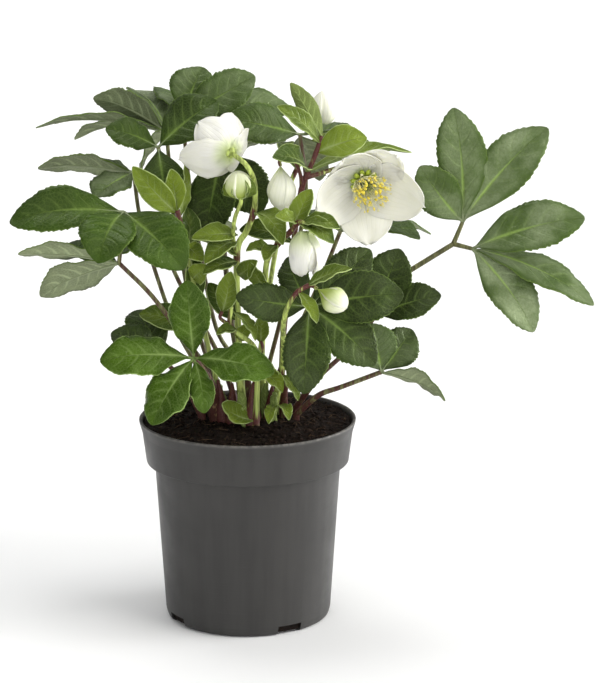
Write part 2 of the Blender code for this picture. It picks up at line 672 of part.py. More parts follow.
def sepal_ring(foot, frame, lengths, width, opening, bend, spin, stations, collection):
    """Sepals in a ring, each one lapping over the next"""
    pieces = []
    for index, length in enumerate(lengths):
        turn = math.radians(spin) + math.tau * index / len(lengths)
        place = sepal_place(foot, frame, turn, length, width, math.radians(opening),
                            math.radians(bend))
        pieces.append(surface("sepal", place, stations, 4, SEPAL_THICKNESS, collection))
    return pieces


def post(name, start, end, start_radius, end_radius, sides, collection):
    """A round post or cone between two points in metres"""
    bm = bmesh.new()
    bmesh.ops.create_cone(bm, cap_ends=True, segments=sides, radius1=start_radius * MM,
                          radius2=end_radius * MM, depth=(end - start).length)
    bm.transform((end - start).to_track_quat("Z", "Y").to_matrix().to_4x4())
    bmesh.ops.translate(bm, verts=bm.verts, vec=(start + end) / 2)
    return object_from(bm, name, collection)


def axis_post(name, foot, frame, radius, low, high, sides, collection):
    """A post along the flower's axis, between two heights in millimetres"""
    start, end = (on_flower(foot, frame, 0, 0, height) for height in (low, high))
    return post(name, start, end, radius, radius, sides, collection)


def washer(name, foot, frame, inner, outer, low, high, collection):
    """A flat ring round the flower's axis"""
    ring = axis_post(name, foot, frame, outer, low, high, 10, collection)
    hole = axis_post("hole", foot, frame, inner, low - CUT_PAST, high + CUT_PAST, 10,
                     collection)
    boolean = ring.modifiers.new("hole", "BOOLEAN")
    boolean.operation = "DIFFERENCE"
    boolean.object = hole
    ring = applied(ring)
    bpy.data.objects.remove(hole)
    return ring


def spray(name, foot, frame, count, feet, tips, radii, sides, collection):
    """Posts in a ring, from feet to tips given as radius and height pairs"""
    pieces = []
    for index in range(count):
        turn = math.tau * index / count
        start = on_flower(foot, frame, feet[0], turn, feet[1])
        radius, height = tips[index % len(tips)]
        end = on_flower(foot, frame, radius, turn, height)
        pieces.append(post(name, start, end, *radii, sides, collection))
    return pieces


def make_bloom(name, parts, materials):
    """An open flower: sepals on their receptacle, nectaries, stamens and pistils"""
    foot, axis, lengths, width, opening, bend, spin = FLOWERS[name]
    foot, frame = mm(foot), axis_frame(axis)
    sepals = [axis_post(name, foot, frame, RECEPTACLE_RADIUS, 0, RECEPTACLE_HEIGHT, 10, parts)]
    sepals += sepal_ring(foot, frame, lengths, width, opening, bend, spin, SEPAL_STATIONS,
                         parts)
    joined(name + "_sepals", sepals, materials["sepal"])

    nectaries = [washer(name, foot, frame, *NECTARY_RING, parts)]
    nectaries += spray("nectary", foot, frame, *NECTARIES, parts)
    joined(name + "_nectaries", nectaries, materials["nectary"])

    stamens = [washer(name, foot, frame, *STAMEN_RING, parts)]
    stamens += spray("stamen", foot, frame, *STAMENS, parts)
    joined(name + "_stamens", stamens, materials["stamen"])

    pistils = [axis_post(name, foot, frame, OVARY_RADIUS, *OVARY_HEIGHTS, 8, parts)]
    pistils += spray("style", foot, frame, *STYLES, parts)
    joined(name + "_pistils", pistils, materials["pistil"])


def make_bud(name, parts, materials):
    """A closed bud whose five sepals lap over each other in a spiral"""
    foot, axis, length, radius, twist, colour = BUDS[name]
    foot, frame = mm(foot), axis_frame(axis)
    bm = bmesh.new()
    bmesh.ops.create_uvsphere(bm, u_segments=3 * SEPALS, v_segments=BUD_RINGS, radius=1)
    for vert in bm.verts:
        turn = math.atan2(vert.co.y, vert.co.x)
        share = (1 + vert.co.z) / 2
        lap = (turn / math.tau * SEPALS + 0.01) % 1
        swell = 1 + BUD_LAP * lap * math.sin(math.pi * share)
        out = math.hypot(vert.co.x, vert.co.y) * radius * swell * (1.12 - 0.34 * share)
        vert.co = on_flower(foot, frame, out, turn + twist * share, length * share)
    bmesh.ops.triangulate(bm, faces=bm.faces)
    bud = object_from(bm, name, parts)
    bud.data.materials.append(materials[colour])


def make_half_open_bud(name, parts, material):
    """A bud whose five sepals stand round it like a bell"""
    foot, axis, lengths, width, opening, bend = HALF_OPEN[name]
    foot, frame = mm(foot), axis_frame(axis)
    pieces = [axis_post(name, foot, frame, RECEPTACLE_RADIUS, 0, RECEPTACLE_HEIGHT, 10, parts)]
    pieces += sepal_ring(foot, frame, lengths, width, opening, bend, 0, BELL_STATIONS, parts)
    joined(name, pieces, material)


def main():
    clear_scene()
    parts = new_collection(PART)
    cutters = new_collection("cutters")
    materials = {name: new_material(name) for name in COLOURS}
    make_pot(parts, cutters, materials["pot_plastic"])
    make_soil(parts, cutters, materials["soil"])
    for name in STALKS:
        young = "young_" if name == "frond_young" else ""
        make_frond(name, parts, materials[young + "leaf"], materials[young + "petiole"])
    for name in STEMS:
        make_stem(name, parts, materials["stem"])
    for name in FLOWERS:
        make_bloom(name, parts, materials)
    for name in BUDS:
        make_bud(name, parts, materials)
    for name in HALF_OPEN:
        make_half_open_bud(name, parts, materials["sepal"])


main()
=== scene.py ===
"""Dresses a potted christmas rose: toothed and veined leaves, lapped sepals, stamens,
crumbly soil and a turned nursery pot. Tables are in millimetres, meshes in metres."""

import json
import math
import random

import bmesh
import bpy
from mathutils import Matrix, Vector, noise

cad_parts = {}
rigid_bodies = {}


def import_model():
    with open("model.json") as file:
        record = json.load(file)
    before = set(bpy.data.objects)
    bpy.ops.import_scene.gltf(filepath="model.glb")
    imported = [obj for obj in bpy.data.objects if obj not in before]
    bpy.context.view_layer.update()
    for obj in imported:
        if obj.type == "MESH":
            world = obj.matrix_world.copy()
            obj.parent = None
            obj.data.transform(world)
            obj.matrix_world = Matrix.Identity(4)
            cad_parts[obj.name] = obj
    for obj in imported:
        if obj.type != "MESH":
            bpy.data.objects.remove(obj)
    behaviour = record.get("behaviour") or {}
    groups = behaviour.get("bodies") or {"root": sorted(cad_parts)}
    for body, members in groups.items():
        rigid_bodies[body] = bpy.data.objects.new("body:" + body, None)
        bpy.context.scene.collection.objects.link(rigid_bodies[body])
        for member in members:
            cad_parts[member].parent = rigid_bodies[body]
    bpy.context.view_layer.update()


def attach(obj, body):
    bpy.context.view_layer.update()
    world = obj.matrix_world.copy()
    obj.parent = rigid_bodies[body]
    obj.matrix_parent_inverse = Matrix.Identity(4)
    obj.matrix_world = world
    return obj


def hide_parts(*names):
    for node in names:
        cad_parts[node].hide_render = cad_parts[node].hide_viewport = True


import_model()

bl_info = {
    "name": "Potted Christmas Rose",
    "version": (1, 0, 0),
    "blender": (4, 5, 0),
    "location": "3D View > Sidebar > Christmas Rose",
    "description": "Builds the leaves, flowers, soil and pot of a potted christmas rose",
    "category": "Add Mesh",
}

MM = 0.001
MERGE_GAP = 0.000001

# Pot and soil: sizes of the real one
RIM_RADIUS = 60.0
POT_HEIGHT = 113.0
LIP_DEPTH = 7.0
LIP_TAPER = 1.8
BAND_FOOT_RADIUS = 56.0
BAND_FOOT_HEIGHT = 89.0
BODY_TOP_RADIUS = 51.5
BASE_RADIUS = 46.0
POT_WALL = 1.5
LIP_BEAD = 1.6
EDGE_SLANT = 0.2
CORNER_CUT = 0.7
CORNER_STEPS = 3
POT_SHARP_ANGLE = math.radians(38)
NOTCH_WIDTH = 14.5
NOTCH_HEIGHT = 5.5
NOTCH_DEPTH = 9.0
NOTCH_OVERCUT = 1.0
NOTCH_ANGLES = (31, 121, 211, 301)
SOIL_EDGE = 111.0
SOIL_MOUND = 4.0
SOIL_ROUGHNESS = 1.3
ROOT_DEPTH = 8.0
ROOT_RISE = 3.0
FIT_GAP = 0.3
# How far the foot's chamfer stands in from the base radius, and its heights
BASE_CHAMFER = [(0, 4.4), (0.9, 1.2), (3, 0)]
# Radius and height of each corner of the soil's side and floor, a gap's width off the pot
SOIL_SIDES = [
    (RIM_RADIUS - LIP_TAPER - POT_WALL - FIT_GAP, POT_HEIGHT - LIP_DEPTH),
    (BAND_FOOT_RADIUS - POT_WALL - FIT_GAP, BAND_FOOT_HEIGHT + POT_WALL + FIT_GAP),
    (BODY_TOP_RADIUS - POT_WALL - FIT_GAP, BAND_FOOT_HEIGHT + POT_WALL + FIT_GAP),
    (BASE_RADIUS - POT_WALL - FIT_GAP, POT_WALL + FIT_GAP),
    (0, POT_WALL + FIT_GAP),
]
SOIL_TOP_RINGS = 52
SOIL_SECTORS = 144
SOIL_RIM_REACH = 0.6
# Lumps of the soil: size, share of its roughness, level of the noise
SOIL_LUMPS = ((9, 1.0, 7), (4, 0.6, 31))
FINE_LUMP_SIZE = 2.2
FINE_LUMP_HEIGHT = 0.55
# What is strewn on the soil: how many of each, their sizes, how high over it they lie, with
# the crumbs' as a share of their size, and how far from the middle
SOIL_SEED = 11
CRUMBS = 1700
CRUMB_RADII = (0.45, 1.95)
CRUMB_LIFT = 0.15
FIBRES = 230
FIBRE_RADIUS = 0.13
FIBRE_LENGTHS = (2, 9)
FIBRE_LIFT = 0.3
FIBRE_RISES = (0.2, 1.8)
FIBRE_BOW = 0.4
FIBRE_END_RADIUS = 56
STREWN_RADIUS = 55.5
RIM_SPECKS = 60
RIM_SPECK_SIZES = (0.25, 0.7)
RIM_SPECK_RADII = (56.6, 58.1)
RIM_SPECK_HEIGHTS = (110.4, 111.8)

# Stalks: root in the soil, the places that the stalk bends through, radius at soil and tip
STALKS = {
    "frond_right": ((13, 13), [(20, 11, 140), (29, 5, 152), (56, 3, 174), (92, 7, 196),
                               (113, 8, 209)], 1.7, 1.4),
    "frond_left": ((-20, 6), [(-23, -4, 142), (-35, -17, 163), (-51, -23, 187),
                              (-68, -28, 206)], 1.5, 1.2),
    "frond_upper_left": ((-13, 16), [(-22, 17, 140), (-33, 22, 177), (-42, 34, 236),
                                     (-45, 40, 266)], 1.4, 1.1),
    "frond_upper_back": ((-4, 22), [(-8, 22, 140), (-19, 22, 163), (-31, 32, 229),
                                    (-36, 38, 274)], 1.4, 1.1),
    "frond_middle_left": ((-12, 2), [(-19, 3, 140), (-28, 4, 178), (-42, 6, 234),
                                     (-48, 6, 263)], 1.4, 1.1),
    "frond_centre": ((4, -14), [(0, -6, 135), (-8, 8, 160), (-14, 17, 221),
                                (-14, 17, 258)], 2.3, 1.1),
    "frond_far_left": ((-20, -2), [(-27, -1, 140), (-41, 0, 168), (-57, 8, 217),
                                   (-62, 12, 248)], 1.3, 1.1),
    "frond_back": ((7, 16), [(12, 15, 140), (21, 13, 177), (32, 16, 232),
                             (29, 18, 268)], 1.4, 1.1),
    "frond_young": ((-17, -10), [(-20, -22, 138), (-28, -38, 156)], 2.4, 1.9),
    "frond_low_left": ((-25, -10), [(-33, -13, 134), (-46, -14, 150)], 1.4, 1.2),
    "frond_front": ((20, -4), [(21, -14, 134), (29, -28, 158), (34, -36, 184)], 1.5, 1.2),
    "frond_low_right": ((27, -8), [(39, -14, 129), (52, -18, 135), (73, -25, 145)], 1.4, 1.3),
    "frond_side": ((26, 4), [(38, -7, 136), (48, -11, 147), (60, -13, 158),
                             (70, -14, 174)], 1.4, 1.2),
    "frond_rear_left": ((-8, 30), [(-18, 42, 140), (-38, 62, 172), (-50, 74, 196)], 1.4, 1.2),
    "frond_rear_right": ((12, 28), [(22, 40, 140), (40, 58, 176), (52, 68, 204)], 1.4, 1.2),
}

# Side arms of the pedate fronds, from the stalk's end
ARMS = {
    "frond_right": {"up": (118, 9, 221), "side": (123, 5, 207)},
    "frond_left": {"up": (-65, -28, 234)},
}

# Leaflets: frond point, tip, width, the way the upper face looks, and arch
LEAFLETS = {
    "frond_right": [
        ("up", (94, 3, 253), 25, (-0.1, -0.9, 0.3), 0.06),
        ("up", (113, 22, 282), 28, (0, -0.93, 0.35), 0.07),
        ("up", (164, 16, 272), 29, (-0.1, -0.85, 0.4), 0.06),
        ("side", (184, 2, 225), 30, (0, -0.75, 0.6), 0.08),
        ("side", (189, -10, 179), 26, (0.35, -0.5, 0.8), 0.06),
        ("side", (156, -18, 166), 27, (0.1, -0.8, 0.6), 0.05),
    ],
    "frond_left": [
        ("up", (-126, -30, 229), 28, (0.05, -0.8, 0.6), 0.08),
        ("up", (-77, -60, 213), 32, (-0.1, -0.75, 0.65), 0.12),
        ("up", (-32, -56, 209), 33, (0.15, -0.8, 0.55), 0.1),
        ("stalk", (-121, -38, 213), 24, (0, 0.5, 0.85), 0.05),
        ("stalk", (-112, -12, 185), 27, (-0.2, 0.75, 0.6), 0.06),
        ("stalk", (-101, 8, 208), 22, (0, -0.5, 0.85), 0.05),
    ],
    "frond_upper_left": [
        ("stalk", (-85, 42, 285), 24, (-0.1, 0.75, 0.65), 0.06),
        ("stalk", (-116, 26, 271), 25, (0, 0.3, 0.95), 0.07),
        ("stalk", (-67, 88, 282), 24, (0, 0.3, 0.9), 0.08),
        ("stalk", (-98, 68, 258), 23, (-0.3, 0.4, 0.85), 0.08),
    ],
    "frond_upper_back": [
        ("stalk", (-25, 52, 300), 27, (0, -0.9, 0.4), 0.06),
        ("stalk", (4, 46, 296), 26, (0.1, -0.85, 0.5), 0.06),
        ("stalk", (25, 56, 276), 27, (0, -0.6, 0.8), 0.08),
        ("stalk", (-46, 92, 280), 26, (0, 0.3, 0.9), 0.08),
        ("stalk", (-59, 8, 248), 20, (-0.8, 0.3, 0.55), 0.06),
    ],
    "frond_middle_left": [
        ("stalk", (-16, 10, 288), 30, (0, -0.7, 0.7), 0.06),
        ("stalk", (-43, -4, 229), 26, (-0.1, -0.9, 0.3), 0.07),
        ("stalk", (-76, 2, 274), 20, (0, -0.7, 0.7), 0.06),
    ],
    "frond_centre": [
        ("stalk", (21, 30, 263), 20, (0, 0.6, 0.8), 0.06),
        ("stalk", (8, 5, 227), 28, (0.1, -0.9, 0.3), 0.08),
        ("stalk", (-23, 0, 214), 28, (-0.1, -0.9, 0.3), 0.08),
        ("stalk", (-18, 58, 248), 24, (0, 0.3, 0.95), 0.08),
    ],
    "frond_far_left": [
        ("stalk", (-114, 12, 251), 24, (0, 0.6, 0.8), 0.06),
        ("stalk", (-98, 36, 251), 20, (0, 0.28, 0.96), 0.06),
        ("stalk", (-82, -6, 238), 26, (-0.3, -0.5, 0.8), 0.05),
    ],
    "frond_back": [
        ("stalk", (-11, 8, 278), 26, (0, -0.75, 0.65), 0.06),
        ("stalk", (68, 28, 262), 26, (0.3, 0, 0.9), 0.08),
        ("stalk", (40, 42, 238), 20, (0.2, 0.7, 0.6), 0.08),
    ],
    "frond_young": [
        ("stalk", (-31, -46, 200), 23, (0, -0.95, 0.25), 0.08),
        ("stalk", (-77, -54, 159), 25, (0.05, -0.7, 0.7), 0.1),
        ("stalk", (-50, -60, 125), 25, (-0.2, -0.8, 0.55), 0.1),
        ("stalk", (-22, -58, 131), 14, (0.1, -0.9, 0.3), 0.08),
        ("stalk", (15, -54, 152), 24, (0.1, -0.8, 0.6), 0.12),
    ],
    "frond_low_left": [
        ("stalk", (-74, -8, 163), 22, (0, -0.6, 0.8), 0.06),
        ("stalk", (-77, -24, 148), 20, (-0.1, -0.5, 0.85), 0.06),
        ("stalk", (-62, 16, 170), 24, (0, -0.3, 0.95), 0.08),
    ],
    "frond_front": [
        ("stalk", (84, -42, 192), 30, (0, -0.92, 0.3), 0.06),
        ("stalk", (69, -52, 156), 27, (0.1, -0.9, 0.35), 0.08),
        ("stalk", (31, -60, 142), 27, (0, -0.9, 0.4), 0.08),
        ("stalk", (-5, -42, 191), 21, (0, -0.9, 0.4), 0.06),
        ("stalk", (67, -17, 211), 24, (0, -0.85, 0.5), 0.06),
        ("stalk", (22, -13, 206), 18, (-0.3, -0.8, 0.4), 0.06),
    ],
    "frond_low_right": [
        ("stalk", (67, -34, 174), 24, (0.1, -0.8, 0.6), 0.06),
        ("stalk", (90, -14, 166), 22, (0.2, -0.8, 0.5), 0.06),
        ("stalk", (107, -46, 135), 22, (0.3, 0.6, 0.75), 0.08),
    ],
    "frond_side": [
        ("stalk", (83, -10, 210), 26, (0, -0.95, 0.3), 0.06),
        ("stalk", (105, -22, 187), 22, (0, -0.8, 0.6), 0.06),
        ("stalk", (98, 8, 172), 22, (0.1, -0.3, 0.95), 0.06),
    ],
    "frond_rear_left": [
        ("stalk", (-104, 72, 206), 28, (-0.1, 0.2, 0.97), 0.1),
        ("stalk", (-88, 112, 192), 28, (-0.3, 0.5, 0.8), 0.1),
        ("stalk", (-44, 126, 186), 29, (0, 0.6, 0.8), 0.1),
        ("stalk", (-8, 104, 198), 26, (0.2, 0.4, 0.9), 0.1),
        ("stalk", (-84, 40, 190), 24, (-0.3, -0.3, 0.9), 0.1),
    ],
    "frond_rear_right": [
        ("stalk", (96, 44, 205), 26, (0.2, -0.2, 0.95), 0.1),
        ("stalk", (104, 82, 200), 28, (0.4, 0.3, 0.85), 0.1),
        ("stalk", (70, 120, 190), 29, (0.2, 0.6, 0.8), 0.1),
        ("stalk", (18, 110, 204), 27, (-0.2, 0.5, 0.85), 0.1),
        ("stalk", (52, 88, 238), 24, (0, 0.8, 0.6), 0.08),
    ],
}

# Flower stems: root, bends, radius at soil and tip, and the flower or bud at the end
STEMS = {
    "stem_arched": ((-2, -20), [(-4, -14, 148), (-5, -10, 176), (-5, -10, 209),
                                (0, -12, 220), (4, -14, 231), (5, -18, 242), (4, -25, 252),
                                (0, -29, 260)], 2.0, 1.2, "bloom_left"),
    "stem_drooping": ((9, -8), [(8, -10, 150), (10, -14, 185), (11, -18, 204),
                                (16, -23, 214), (24, -32, 224), (28, -37.5, 230)],
                      1.9, 1.1, "bud_white"),
    "stem_tall": ((17, 2), [(19, 0, 140), (20, -1, 162), (24, -3, 197), (27, -6, 225),
                            (29, -8, 239), (32, -8, 249), (36, -7, 258), (41, -5, 271)],
                  1.9, 1.2, None),
    "stem_young_leaves": ((-10, -9), [(-16, -10, 133), (-23, -10, 164), (-28, -11, 186),
                                      (-32, -13, 209), (-35, -16, 224), (-37, -18, 233)],
                          1.5, 1.2, None),
    "stem_low_bud": ((14, -14), [(19, -22, 145), (20, -32, 161), (20, -43, 174),
                                 (22, -51, 186), (27, -53, 195), (33, -53, 199)],
                     1.7, 1.0, "bud_side"),
    "stem_far_bloom": ((4, 6), [(6, 6, 140), (12, 28, 180), (22, 48, 230), (35, 52, 256)],
                       1.6, 1.1, "bud_far"),
    "shoot_low": ((5, -24), [(6, -24, 141), (7, -25, 152), (3, -26, 161), (-5, -25, 167),
                             (-9, -24, 172), (-8, -23, 181)], 1.5, 1.2, None),
}

# Side branches of the stems: where they leave the stem, their bends, radius, and flower
BRANCHES = {
    "stem_arched": [((-5, -10, 206), [(-7, -15, 217), (-6, -21, 229)], 1.1, "bud_green")],
    "stem_tall": [((30, -8, 243), [(29, -12, 252), (25, -15, 260)], 1.0, "bud_hanging"),
                  ((32, -8, 249), [(40, -2, 250), (51, 6, 252), (61, 8, 252)], 1.2,
                   "bloom_right")],
    "shoot_low": [((7, -25, 150), [(9, -23, 156), (8, -22, 162)], 0.9, None),
                  ((-9, -24, 171), [(-14, -25, 175), (-13, -25, 179)], 1.0, None)],
}

# Leafy bracts of the stems: base, tip, width, the way the upper face looks, arch, and how
# fresh the green is, 0 dark to 1 light
BRACTS = {
    "stem_arched": [((4, -14, 230), (20, -37, 218), 15, (0.2, -0.5, 0.85), 0.2, 0.6),
                    ((-4, -10, 206), (-27, -17, 217), 11, (0, -0.6, 0.8), 0.08, 0.35)],
    "stem_drooping": [((24, -32, 224), (35, -26, 246), 12, (-0.3, -0.85, 0.3), 0.06, 0.5),
                      ((28, -37, 229), (50, -45, 229), 12, (0, -0.4, 0.9), 0.12, 0.15),
                      ((17, -24, 215), (10, -36, 209), 9, (-0.4, -0.7, 0.6), 0.1, 0.5),
                      ((14, -21, 212), (0, -24, 212), 10, (0, -0.5, 0.85), 0.1, 0.4)],
    "stem_tall": [((41, -5, 270), (24, 1, 299), 12, (-0.3, 0.5, 0.6), 0.05, 0.2),
                  ((40, -6, 267), (17, -15, 289), 12, (-0.3, -0.5, 0.8), 0.06, 0.4),
                  ((38, -6, 262), (65, -4, 270), 19, (0, -0.85, 0.55), 0.12, 0.95),
                  ((33, -8, 252), (15, -29, 264), 18, (-0.3, -0.7, 0.6), 0.14, 0.0),
                  ((33, -7, 252), (90, 20, 259), 14, (0, -0.1, 1), 0.05, 0.6)],
    "stem_young_leaves": [
        ((-37, -18, 232), (-40, -22, 256), 12, (0.1, -0.95, 0.1), -0.06, 1.0),
        ((-37, -17, 231), (-60, -26, 258), 15, (-0.3, -0.8, 0.5), 0.08, 0.75),
        ((-36, -17, 228), (-33, -9, 256), 9, (0.8, -0.4, 0.2), 0.04, 0.5),
        ((-33, -14, 214), (-23, -22, 206), 11, (0.1, -0.9, 0.3), 0.12, 0.5)],
    "stem_low_bud": [((33, -53, 199), (56, -59, 210), 10, (-0.3, -0.6, 0.7), 0.1, 0.5),
                     ((28, -53, 196), (38, -62, 181), 8, (0.4, -0.7, 0.5), 0.1, 0.65),
                     ((19, -22, 143), (28, -29, 130), 8, (0.4, -0.6, 0.6), 0.1, 0.5)],
    "stem_far_bloom": [((28, 50, 242), (18, 74, 254), 14, (-0.2, 0.4, 0.9), 0.1, 0.2),
                       ((34, 52, 253), (62, 62, 258), 14, (0.2, -0.2, 0.9), 0.1, 0.3)],
    "shoot_low": [((-13, -25, 178), (-8, -27, 201), 12, (-0.1, -0.95, 0.2), 0.08, 0.35),
                  ((4, -25, 117.5), (-13, -32, 129), 13, (0.45, -0.7, 0.6), -0.22, 0.6),
                  ((8, -22, 160), (8, -22, 176), 9, (0, -0.95, 0.2), 0.06, 0.5)],
}

# Small leaves that the stems carry besides their bracts, with the same measures
SPROUTS = {
    "shoot_low": [((-7, -19, 177), (5, -29, 163.5), 9, (0.6, -0.5, 0.6), 0.12, 0.5),
                  ((8, -23, 145), (19.5, -30, 135), 10, (0.2, -0.7, 0.7), 0.14, 0.9),
                  ((-5, -25, 168), (-16, -33, 168), 8, (-0.4, -0.7, 0.6), 0.16, 0.5)],
    "stem_low_bud": [((16, -25, 126), (12, -38, 119.5), 7, (-0.3, -0.5, 0.8), 0.2, 0.9),
                     ((17, -25, 126), (23, -37, 121.5), 8, (0.3, -0.5, 0.8), 0.2, 0.9),
                     ((17, -22, 141), (11, -28, 153), 7, (-0.4, -0.8, 0.3), 0.1, 0.5)],
    "stem_arched": [
        ((-5, -11, 218), (-29, -25, 219), 12, (0.1, -0.8, 0.6), 0.12, 0.6),
        ((-5, -11, 214), (-22, -29, 206), 13, (-0.2, -0.7, 0.7), 0.16, 0.3),
        ((-5, -11, 203), (-23, -27, 200), 11, (-0.1, -0.7, 0.7), 0.12, 0.1),
        ((-4.5, -12, 196), (6, -22, 206), 10, (0.3, -0.8, 0.4), 0.12, 0.4),
        ((-3.5, -25.5, 240.5), (-6, -27, 253), 8.5, (-0.75, -0.65, 0), 0.4, 0.7),
        ((-2.5, -25.5, 240.5), (-1, -28, 254), 8, (0.7, -0.7, 0), 0.4, 0.5),
        ((-5, -10.5, 170), (-21, -5, 190), 12, (-0.1, -0.9, 0.3), 0.1, 0.0),
        ((-4.6, -12.2, 160), (4, -20, 172), 8, (0.1, -0.9, 0.4), 0.2, 1.0)],
    "stem_young_leaves": [
        ((-31, -13, 205), (-27, -19, 216), 10, (0.2, -0.9, 0.3), 0.1, 0.9),
        ((-29, -12, 194), (-20, -22, 203), 12, (0.3, -0.8, 0.4), 0.12, 0.7),
        ((-23.4, -10, 166), (-59, -2, 172), 16, (-0.2, -0.8, 0.55), 0.1, 0.15),
        ((-26.4, -10.7, 179), (-30, -4, 207), 12, (0.2, -0.9, 0.3), 0.1, 0.0),
        ((-31.5, -12.7, 206), (-32, -4, 232), 12, (0.3, -0.9, 0.3), 0.1, 0.0)],
    "stem_drooping": [((28, -37, 229), (47, -46, 221), 13, (0.2, -0.6, 0.75), 0.22, 0.2),
                      ((27, -36, 229), (16, -44, 235), 10, (-0.3, -0.6, 0.7), 0.12, 0.6),
                      ((10, -14, 190), (2, -21, 205), 9, (-0.3, -0.9, 0.3), 0.12, 0.5)],
    "stem_tall": [((25.6, -4.6, 212), (-4, 4, 218), 14, (0.1, -0.75, 0.65), 0.1, 0.0)],
}

# Old red leaf bases that stand in the crown beside a stem: foot, top and radius
STUBS = {
    "stem_arched": [((2.5, -21), (4, -19, 139), 3.6), ((-8, -17), (-8, -14, 136), 3.2)],
    "stem_drooping": [((12, -12), (14, -11, 134), 3.0)],
    "stem_young_leaves": [((-13, -14), (-16, -15, 138), 3.4)],
}
# Scales that clasp the feet of the stems: how far they stand out, and their height
SHEATHS = {"stem_arched": (5.2, 20), "stem_drooping": (4.6, 22), "stem_tall": (4.6, 22),
           "stem_young_leaves": (4.4, 24), "stem_low_bud": (4.4, 19)}

# Flowers: foot, the way the flower looks, the sepals' lengths and their width, opening
# angle at the foot, how far they bend in by their tips, turn of the first, in degrees
FLOWERS = {
    "bloom_right": ((63, 1, 247), (0.18, -1, -0.27), (34, 35, 27, 27, 35), 36, 76, 42, 45),
    "bloom_left": ((-7, -26, 265), (-0.57, 0.8, 0.24), (26.5, 28, 28, 23, 22), 28, 77, 64, 54),
}
# The half-open bud, with the same measures
HALF_OPEN = {
    "bud_white": ((31, -41, 227.5), (0.06, -0.08, -1), (26, 24, 25, 27, 23.5), 21, 54, 98, 0),
}
FLOWER_NECK = 3
SEPALS = 5
SEPAL_FOOT_RADIUS = 2.4
SEPAL_FOOT_HEIGHT = 1.6
SEPAL_WRAP_RADIUS = 4.5
SEPAL_LAP = 0.192
# Which edges of each sepal lie over its neighbours', 1 over and -1 under
SEPAL_EDGES = [(-1, -1), (1, 1), (-1, -1), (1, -1), (1, 1)]

# Radii and heights round a flower's axis
RECEPTACLE_HEIGHTS = [0, 0.9, 2.0, 3.0, 3.7]
NECTARY_PLACES = [(3.6, 3.4), (4.6, 4.9), (6.0, 6.3), (7.6, 7.3)]
PISTIL_PLACES = [(0.7, 3.6), (0.95, 5.5), (1.1, 8), (1.3, 10), (1.7, 12.5), (2.6, 14.2)]
NECTARY_COUNT = 12
PISTIL_COUNT = 6
# Stamens: turn from each to the next, radius and height of the feet, height of the bend,
# how far the tips stand out and up, and how much lower the outer ones end
STAMEN_COUNT = 88
STAMEN_TURN = 2.4
STAMEN_FOOT_RADIUS = 1.9
STAMEN_FOOT_HEIGHT = 3.8
STAMEN_BEND_HEIGHT = 9.5
STAMEN_TUFT_RADIUS = 2.4
STAMEN_SPREAD = 9.2
STAMEN_HEIGHT = 17.5
STAMEN_FALL = 7.5
FILAMENT_RADII = (0.28, 0.2)

# Closed buds: foot, the way the bud looks, length, radius, twist of its sepals, slot, skin,
# power that moves the widest part to the tip, powers of the outline at foot and tip, lap
BUDS = {
    "bud_green": ((-3, -25, 241), (-0.1, -0.1, 1), 15, 7.2, 0.5, "bud", "green",
                  0.9, 0.6, 0.6, 0.1),
    "bud_hanging": ((18.5, -15, 256.5), (0.04, 0, -1), 25.5, 7.2, 0.9, "bud", "white",
                    1.1, 1.0, 0.75, 0.07),
    "bud_far": ((43, 50, 268), (-0.1, 0, 1), 19, 7.4, 0.6, "sepal", "white",
                0.85, 0.7, 0.7, 0.05),
    "bud_side": ((38, -53, 197.5), (0.85, -0.3, -0.5), 19, 6.6, 0.4, "bud", "pale",
                 1.2, 1.3, 0.55, 0.03),
}
# How far a bud's sepal reaches to either side, as a share of the way to the next sepal
BUD_SEPAL_SPAN = 0.82

# Each frond: how fresh its green is, 0 dark to 1 light, how red its stalk is, and how much
# grey film lies on its leaflets, which is partly a real film and partly painted sheen
FROND_TONES = {
    "frond_right": (1.0, 0.1, 0.66), "frond_left": (0.8, 0.5, 0.04),
    "frond_upper_left": (0.6, 0.35, 0.6), "frond_upper_back": (0.8, 0.4, 0.36),
    "frond_middle_left": (0.55, 0.35, 0.08), "frond_centre": (0.0, 0.4, 0.04),
    "frond_far_left": (0.5, 0.35, 0.45), "frond_back": (0.4, 0.5, 0.16),
    "frond_young": (0.5, 0.75, 0.0), "frond_low_left": (0.1, 0.7, 0.1),
    "frond_front": (0.05, 0.5, 0.1), "frond_low_right": (0.4, 0.5, 0.3),
    "frond_side": (0.1, 0.7, 0.08), "frond_rear_left": (0.4, 0.4, 0.1),
    "frond_rear_right": (0.4, 0.5, 0.1),
}
# How far the leaflets of one frond differ in green and in grey film with its painted sheen
TONE_SPREAD = 0.18
FILM_AND_SHEEN_SPREAD = 0.3
# How much wider the clasping foot of a frond's stalk is than the stalk
STALK_FEET = {"frond_young": 0.75, "frond_centre": 1.0, "frond_front": 0.8,
              "frond_low_left": 0.7, "frond_left": 0.7, "frond_far_left": 0.6,
              "frond_middle_left": 0.6}
STALK_FOOT_REACH = 24
# How red the stems are, and how far the red reaches from a stalk's foot or a stem's joint
STEM_BLUSH = {"stem_tall": 0.7, "stem_low_bud": 0.2, "shoot_low": 0.1, "stem_drooping": 0.25}
CROWN_BLUSH_REACH = 28 * MM
JOINT_BLUSH_REACH = 5 * MM
JOINT_REACH = 2.2 * MM

# Blades: power that moves the widest part to the tip, how far the margins bend up, twist
BLADE_FORMS = {"adult": (1.2, 0.0, 0.14), "young": (1.38, -0.12, 0.35),
               "bract": (1.05, 0.3, 0.5)}
LEAF_FOLD = math.radians(14)
LEAF_FOOT = 0.8
TEETH = 18
# Side veins of half a blade, their slant and curve, and how far the halves are out of step
VEINS = 7
VEIN_SLANT = 0.24
VEIN_CURVE = 1.4
VEIN_SHIFT = 0.4
QUILTING = 0.03
